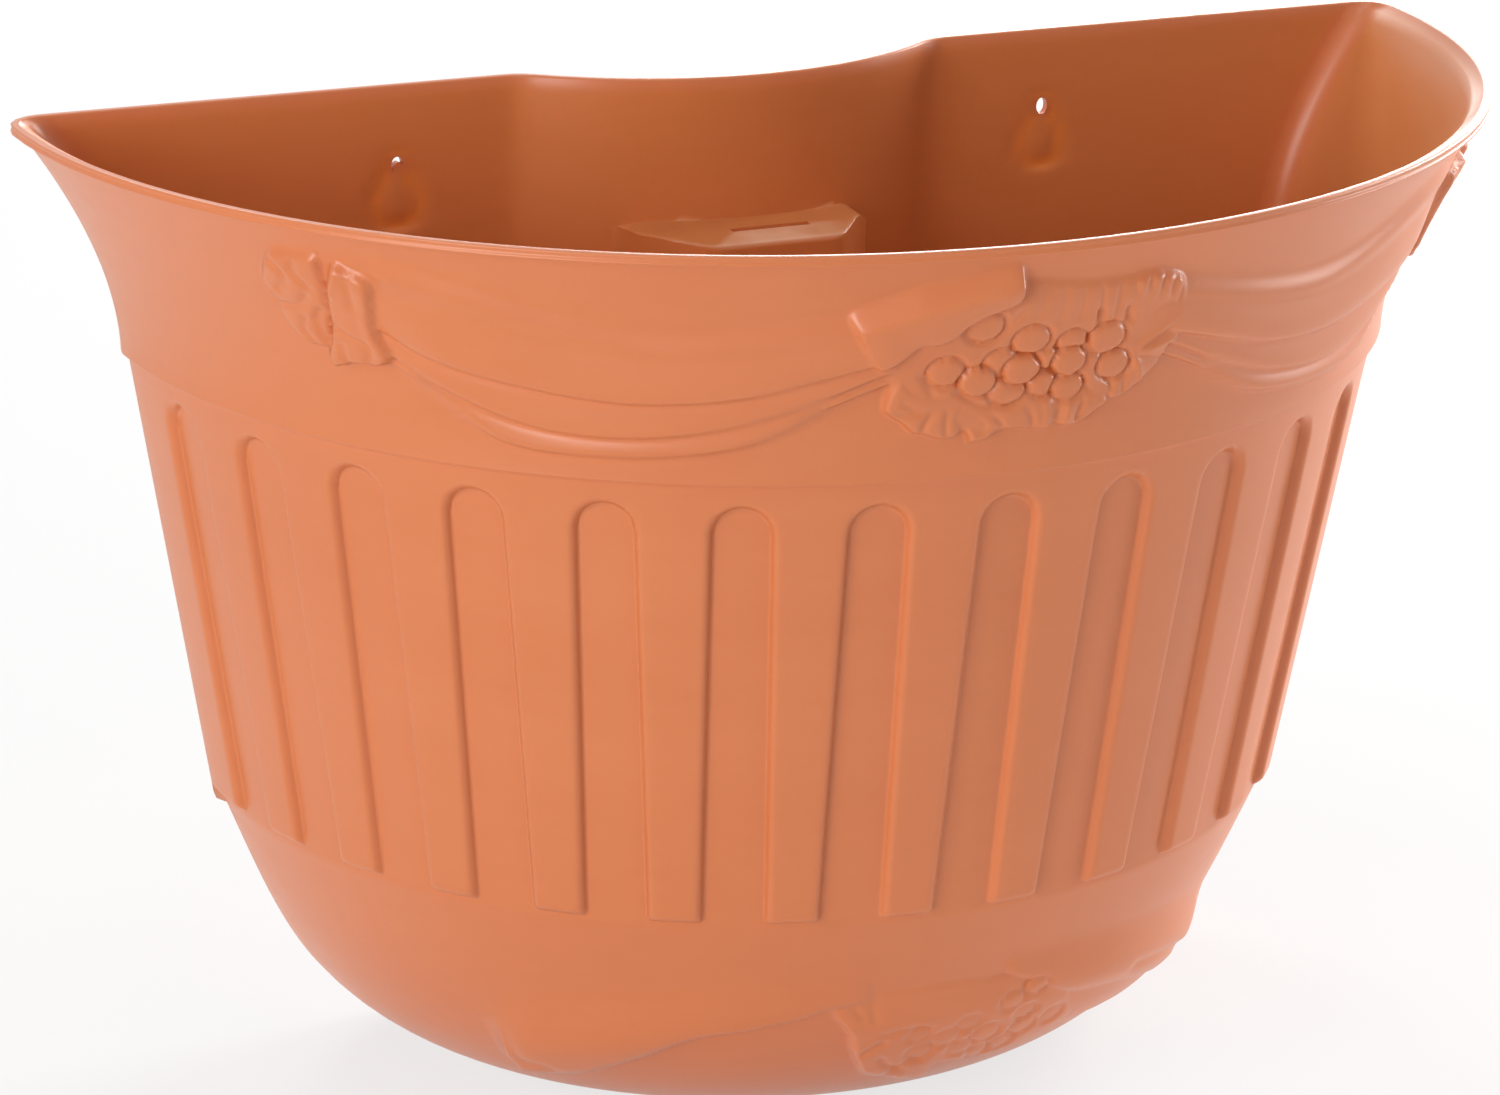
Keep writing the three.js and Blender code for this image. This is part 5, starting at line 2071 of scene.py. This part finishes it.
# -------------------- drain bungs
@dataclass(frozen=True)
class DrainBung:
    """A push-in bung: a turned plug with a ribbed head and a pull stub."""

    body: str
    node: str
    low: Vector
    high: Vector
    ribs: int = 24
    steps: int = 48
    sharp: float = 40.0
    over_head: float = 6.0
    full_radius: float = 9.0
    rib_circle: float = 8.55
    rib_size: float = 0.42
    rib_height: float = 1.3
    rib_drop: float = 5.1

    @property
    def middle(self) -> Vector:
        """Middle of the bung's box."""
        return (self.low + self.high) / 2

    def turned(self) -> bpy.types.Object:
        """Makes the turned body, from the tip to the top of the stub.

        Returns:
            A plain mesh object.
        """
        rise = (self.high.z - self.low.z) / MM
        head = rise - self.over_head
        profile = [
            (0.0, 0.0), (4.2, 0.0), (5.0, 0.12), (5.7, 0.6), (6.0, 1.1), (6.0, head - 0.25),
            (6.3, head - 0.02), (8.2, head), (8.6, head + 0.15), (8.75, head + 0.5), (8.75, head + 1.1),
            (8.5, head + 1.6), (7.9, head + 1.9), (7.0, head + 2.0), (4.0, head + 1.85), (3.2, head + 2.0),
            (2.85, head + 2.5), (2.6, head + 4.6), (2.45, rise - 0.35), (2.1, rise - 0.08), (1.6, rise),
            (0.0, rise),
        ]
        scale = (self.high.x - self.low.x) / 2 / (self.full_radius * MM)
        cx, cy = ((low + high) / 2 / MM for low, high in zip(self.low.xy, self.high.xy))
        base = self.low.z / MM
        turn = np.linspace(0, 2 * np.pi, self.steps, endpoint=False)
        build = Moulding()
        rings = []
        for r, h in profile[1:-1]:
            x, y = cx + scale * r * np.cos(turn), cy + scale * r * np.sin(turn)
            rings.append(build.add(np.stack([x, y, np.full(self.steps, base + h)], -1)))
        build.rings(rings)
        for ring, (_, h) in ((rings[0], profile[0]), (rings[-1], profile[-1])):
            tip = build.add(np.array([[cx, cy, base + h]]))
            build.faces.append(np.stack([ring, np.roll(ring, -1), np.repeat(tip, self.steps)], -1))
        return linked("bung_blank", build.mesh("bung_blank", self.sharp))

    def tree(self) -> bpy.types.NodeTree:
        """Builds the tree that sets grip ribs round the head.

        Returns:
            The tree, with inputs for the ribs' count, sizes and place.
        """
        sheet, given = form_sheet("ribbed_head", {
            "Ribs": "Int", "Radius": "Float", "Rib Size": "Float", "Rib Height": "Float", "Centre": "Vector",
        })
        size = given.outputs
        circle = sheet.add(
            "GeometryNodeMeshCircle", inputs={"Vertices": size["Ribs"], "Radius": size["Radius"]}
        )
        placed = sheet.add(
            "GeometryNodeTransform", inputs={"Geometry": circle.outputs[0], "Translation": size["Centre"]}
        )
        rib = sheet.add(
            "GeometryNodeMeshCylinder",
            inputs={"Vertices": 8, "Radius": size["Rib Size"], "Depth": size["Rib Height"]},
        )
        ribs = sheet.add(
            "GeometryNodeInstanceOnPoints", inputs={"Points": placed.outputs[0], "Instance": rib.outputs[0]}
        )
        joined = sheet.add("GeometryNodeJoinGeometry", inputs={0: size["Geometry"]})
        sheet.tree.links.new(ribs.outputs[0], joined.inputs[0])
        return close_sheet(sheet, given, joined.outputs[0])

    def dress(self, finish: bpy.types.Material) -> bpy.types.Object:
        """Builds the bung, adds its ribs and puts its finish on.

        Args:
            finish: The bung's material.

        Returns:
            The finished object.
        """
        settings = {
            "Ribs": self.ribs,
            "Radius": self.rib_circle * MM,
            "Rib Size": self.rib_size * MM,
            "Rib Height": self.rib_height * MM,
            "Centre": (self.middle.x, self.middle.y, self.high.z - self.rib_drop * MM),
            "Finish": finish,
        }
        made = evaluated(f"{self.node}_turned", self.turned(), self.tree(), settings)
        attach(made, self.body)
        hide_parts(self.node)
        return made


# -------------------- studio
@dataclass(frozen=True)
class Lamp:
    """A soft square lamp that points at a spot."""

    name: str
    place: tuple[float, float, float]
    aim: tuple[float, float, float]
    size: float
    power: float
    colour: tuple[float, float, float] = (1.0, 1.0, 1.0)

    def light(self) -> bpy.types.Object:
        """Makes the lamp.

        Returns:
            The lamp's object.
        """
        data = bpy.data.lights.new(self.name, "AREA")
        data.shape, data.size, data.energy, data.color = "SQUARE", self.size, self.power, self.colour
        made = linked(self.name, data)
        made.location = self.place
        made.rotation_mode = "QUATERNION"
        made.visible_camera = False
        made.rotation_quaternion = (Vector(self.aim) - Vector(self.place)).to_track_quat("-Z", "Y")
        return made


@dataclass(frozen=True)
class Studio:
    """Pale floor, soft lamps, white surroundings and the photograph's camera."""

    azimuth: float = 23.22
    elevation: float = 18.43
    roll: float = 0.72
    distance: float = 1.4098
    target: tuple[float, float, float] = (-0.0426, -0.090, -0.0849)
    lens: float = 132.01
    sensor: float = 36.0
    shift: tuple[float, float] = (0.0301, 0.0015)
    clip: tuple[float, float] = (0.05, 30.0)
    world_strength: float = 0.28
    ground_reach: float = 6.0
    ground_gap: float = 0.3
    lamps: tuple[Lamp, ...] = (
        Lamp("left_softbox", (-1.7, -1.2, 0.12), (0, -0.1, -0.1), 1.0, 24.5),
        Lamp("right_softbox", (1.5, 0.5, 0.4), (0.1, -0.1, -0.05), 0.8, 34.0),
        Lamp("low_rear_softbox", (1.1, 1.5, 0.1), (0.05, -0.1, -0.05), 0.9, 24.0),
        Lamp("low_right_softbox", (1.3, -0.35, -0.06), (0, -0.1, -0.05), 0.3, 4.5),
        Lamp("left_window", (-1.7, -0.7, 0.85), (0, -0.1, -0.05), 0.4, 6.0),
        Lamp("rear_softbox", (-0.1, 1.3, 1.2), (0, -0.15, 0.0), 0.7, 10.0),
        Lamp("top_softbox", (-0.2, -0.6, 1.7), (0, -0.1, -0.1), 0.9, 6.0),
    )

    def camera(self) -> bpy.types.Object:
        """Makes the camera and makes it the scene's own.

        Returns:
            The camera's object.
        """
        a, e, r = (math.radians(v) for v in (self.azimuth, self.elevation, self.roll))
        back = Vector((-math.sin(a) * math.cos(e), -math.cos(a) * math.cos(e), math.sin(e)))
        flat = Vector((math.cos(a), -math.sin(a), 0.0))
        over = back.cross(flat)
        right = math.cos(r) * flat + math.sin(r) * over
        up = -math.sin(r) * flat + math.cos(r) * over
        data = bpy.data.cameras.new("photo_camera")
        data.lens, data.sensor_width, data.sensor_fit = self.lens, self.sensor, "HORIZONTAL"
        data.shift_x, data.shift_y = self.shift
        data.clip_start, data.clip_end = self.clip
        made = linked("photo_camera", data)
        turn = Matrix((right, up, back)).transposed().to_4x4()
        made.matrix_world = Matrix.Translation(Vector(self.target) + back * self.distance) @ turn
        bpy.context.scene.camera = made
        return made

    def surroundings(self) -> None:
        """Makes the world: white where it is seen, moderate where it lights."""
        world = bpy.data.worlds.new("soft_room")
        bpy.context.scene.world = world
        sheet = Sheet.cleared(world)
        strength = sheet.seen() * (1 - self.world_strength) + self.world_strength
        shell = sheet.add("ShaderNodeBackground", inputs={"Color": WHITE, "Strength": strength})
        sheet.add("ShaderNodeOutputWorld", inputs={"Surface": shell.outputs[0]})

    def ground(self, level: float) -> bpy.types.Object:
        """Makes the floor.

        Args:
            level: Height in millimetres of what stands on it.

        Returns:
            The floor's object.
        """
        mesh = bpy.data.meshes.new("ground")
        reach, z = self.ground_reach, (level - self.ground_gap) * MM
        places = [(-reach, -reach, z), (reach, -reach, z), (reach, reach, z), (-reach, reach, z)]
        mesh.from_pydata(places, [], [(0, 1, 2, 3)])
        made = linked("ground", mesh)
        mesh.materials.append(PaleGround().material())
        return made


# -------------------- whole
def main() -> None:
    """Builds the planter and its studio in order."""
    logging.basicConfig(level=logging.INFO, format="%(name)s: %(message)s")
    scene = bpy.context.scene
    scene.view_settings.view_transform = "Standard"
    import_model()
    studio = Studio()
    studio.camera()
    studio.surroundings()
    for lamp in studio.lamps:
        lamp.light()
    # the third colour of each plastic is the thin band's painted glow
    shell_plastic = MouldedPlastic(
        "terracotta_plastic", linear(200, 112, 64), linear(208, 122, 76), linear(222, 124, 62)
    ).material()
    bung_plastic = MouldedPlastic(
        "bung_plastic", linear(156, 88, 54), linear(164, 96, 60), linear(170, 98, 60), roughness=0.5
    ).material()
    bungs = []
    for side in ("left", "middle", "right"):
        node = f"drain_bung_{side}"
        bungs.append(DrainBung(f"bung_{side}", node, *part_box(node)))
    shell = PlanterShell(
        drains=tuple(bung.middle.x / MM for bung in bungs), drain_y=bungs[0].middle.y / MM
    )
    made = shell.dress(shell_plastic)
    made.data.calc_loop_triangles()
    LOG.info("%s: %d triangles", made.name, len(made.data.loop_triangles))
    for bung in bungs:
        made = bung.dress(bung_plastic)
        LOG.info("%s: %d faces", made.name, len(made.data.polygons))
    studio.ground(shell.form.foot_z)


if __name__ == "__main__":
    main()
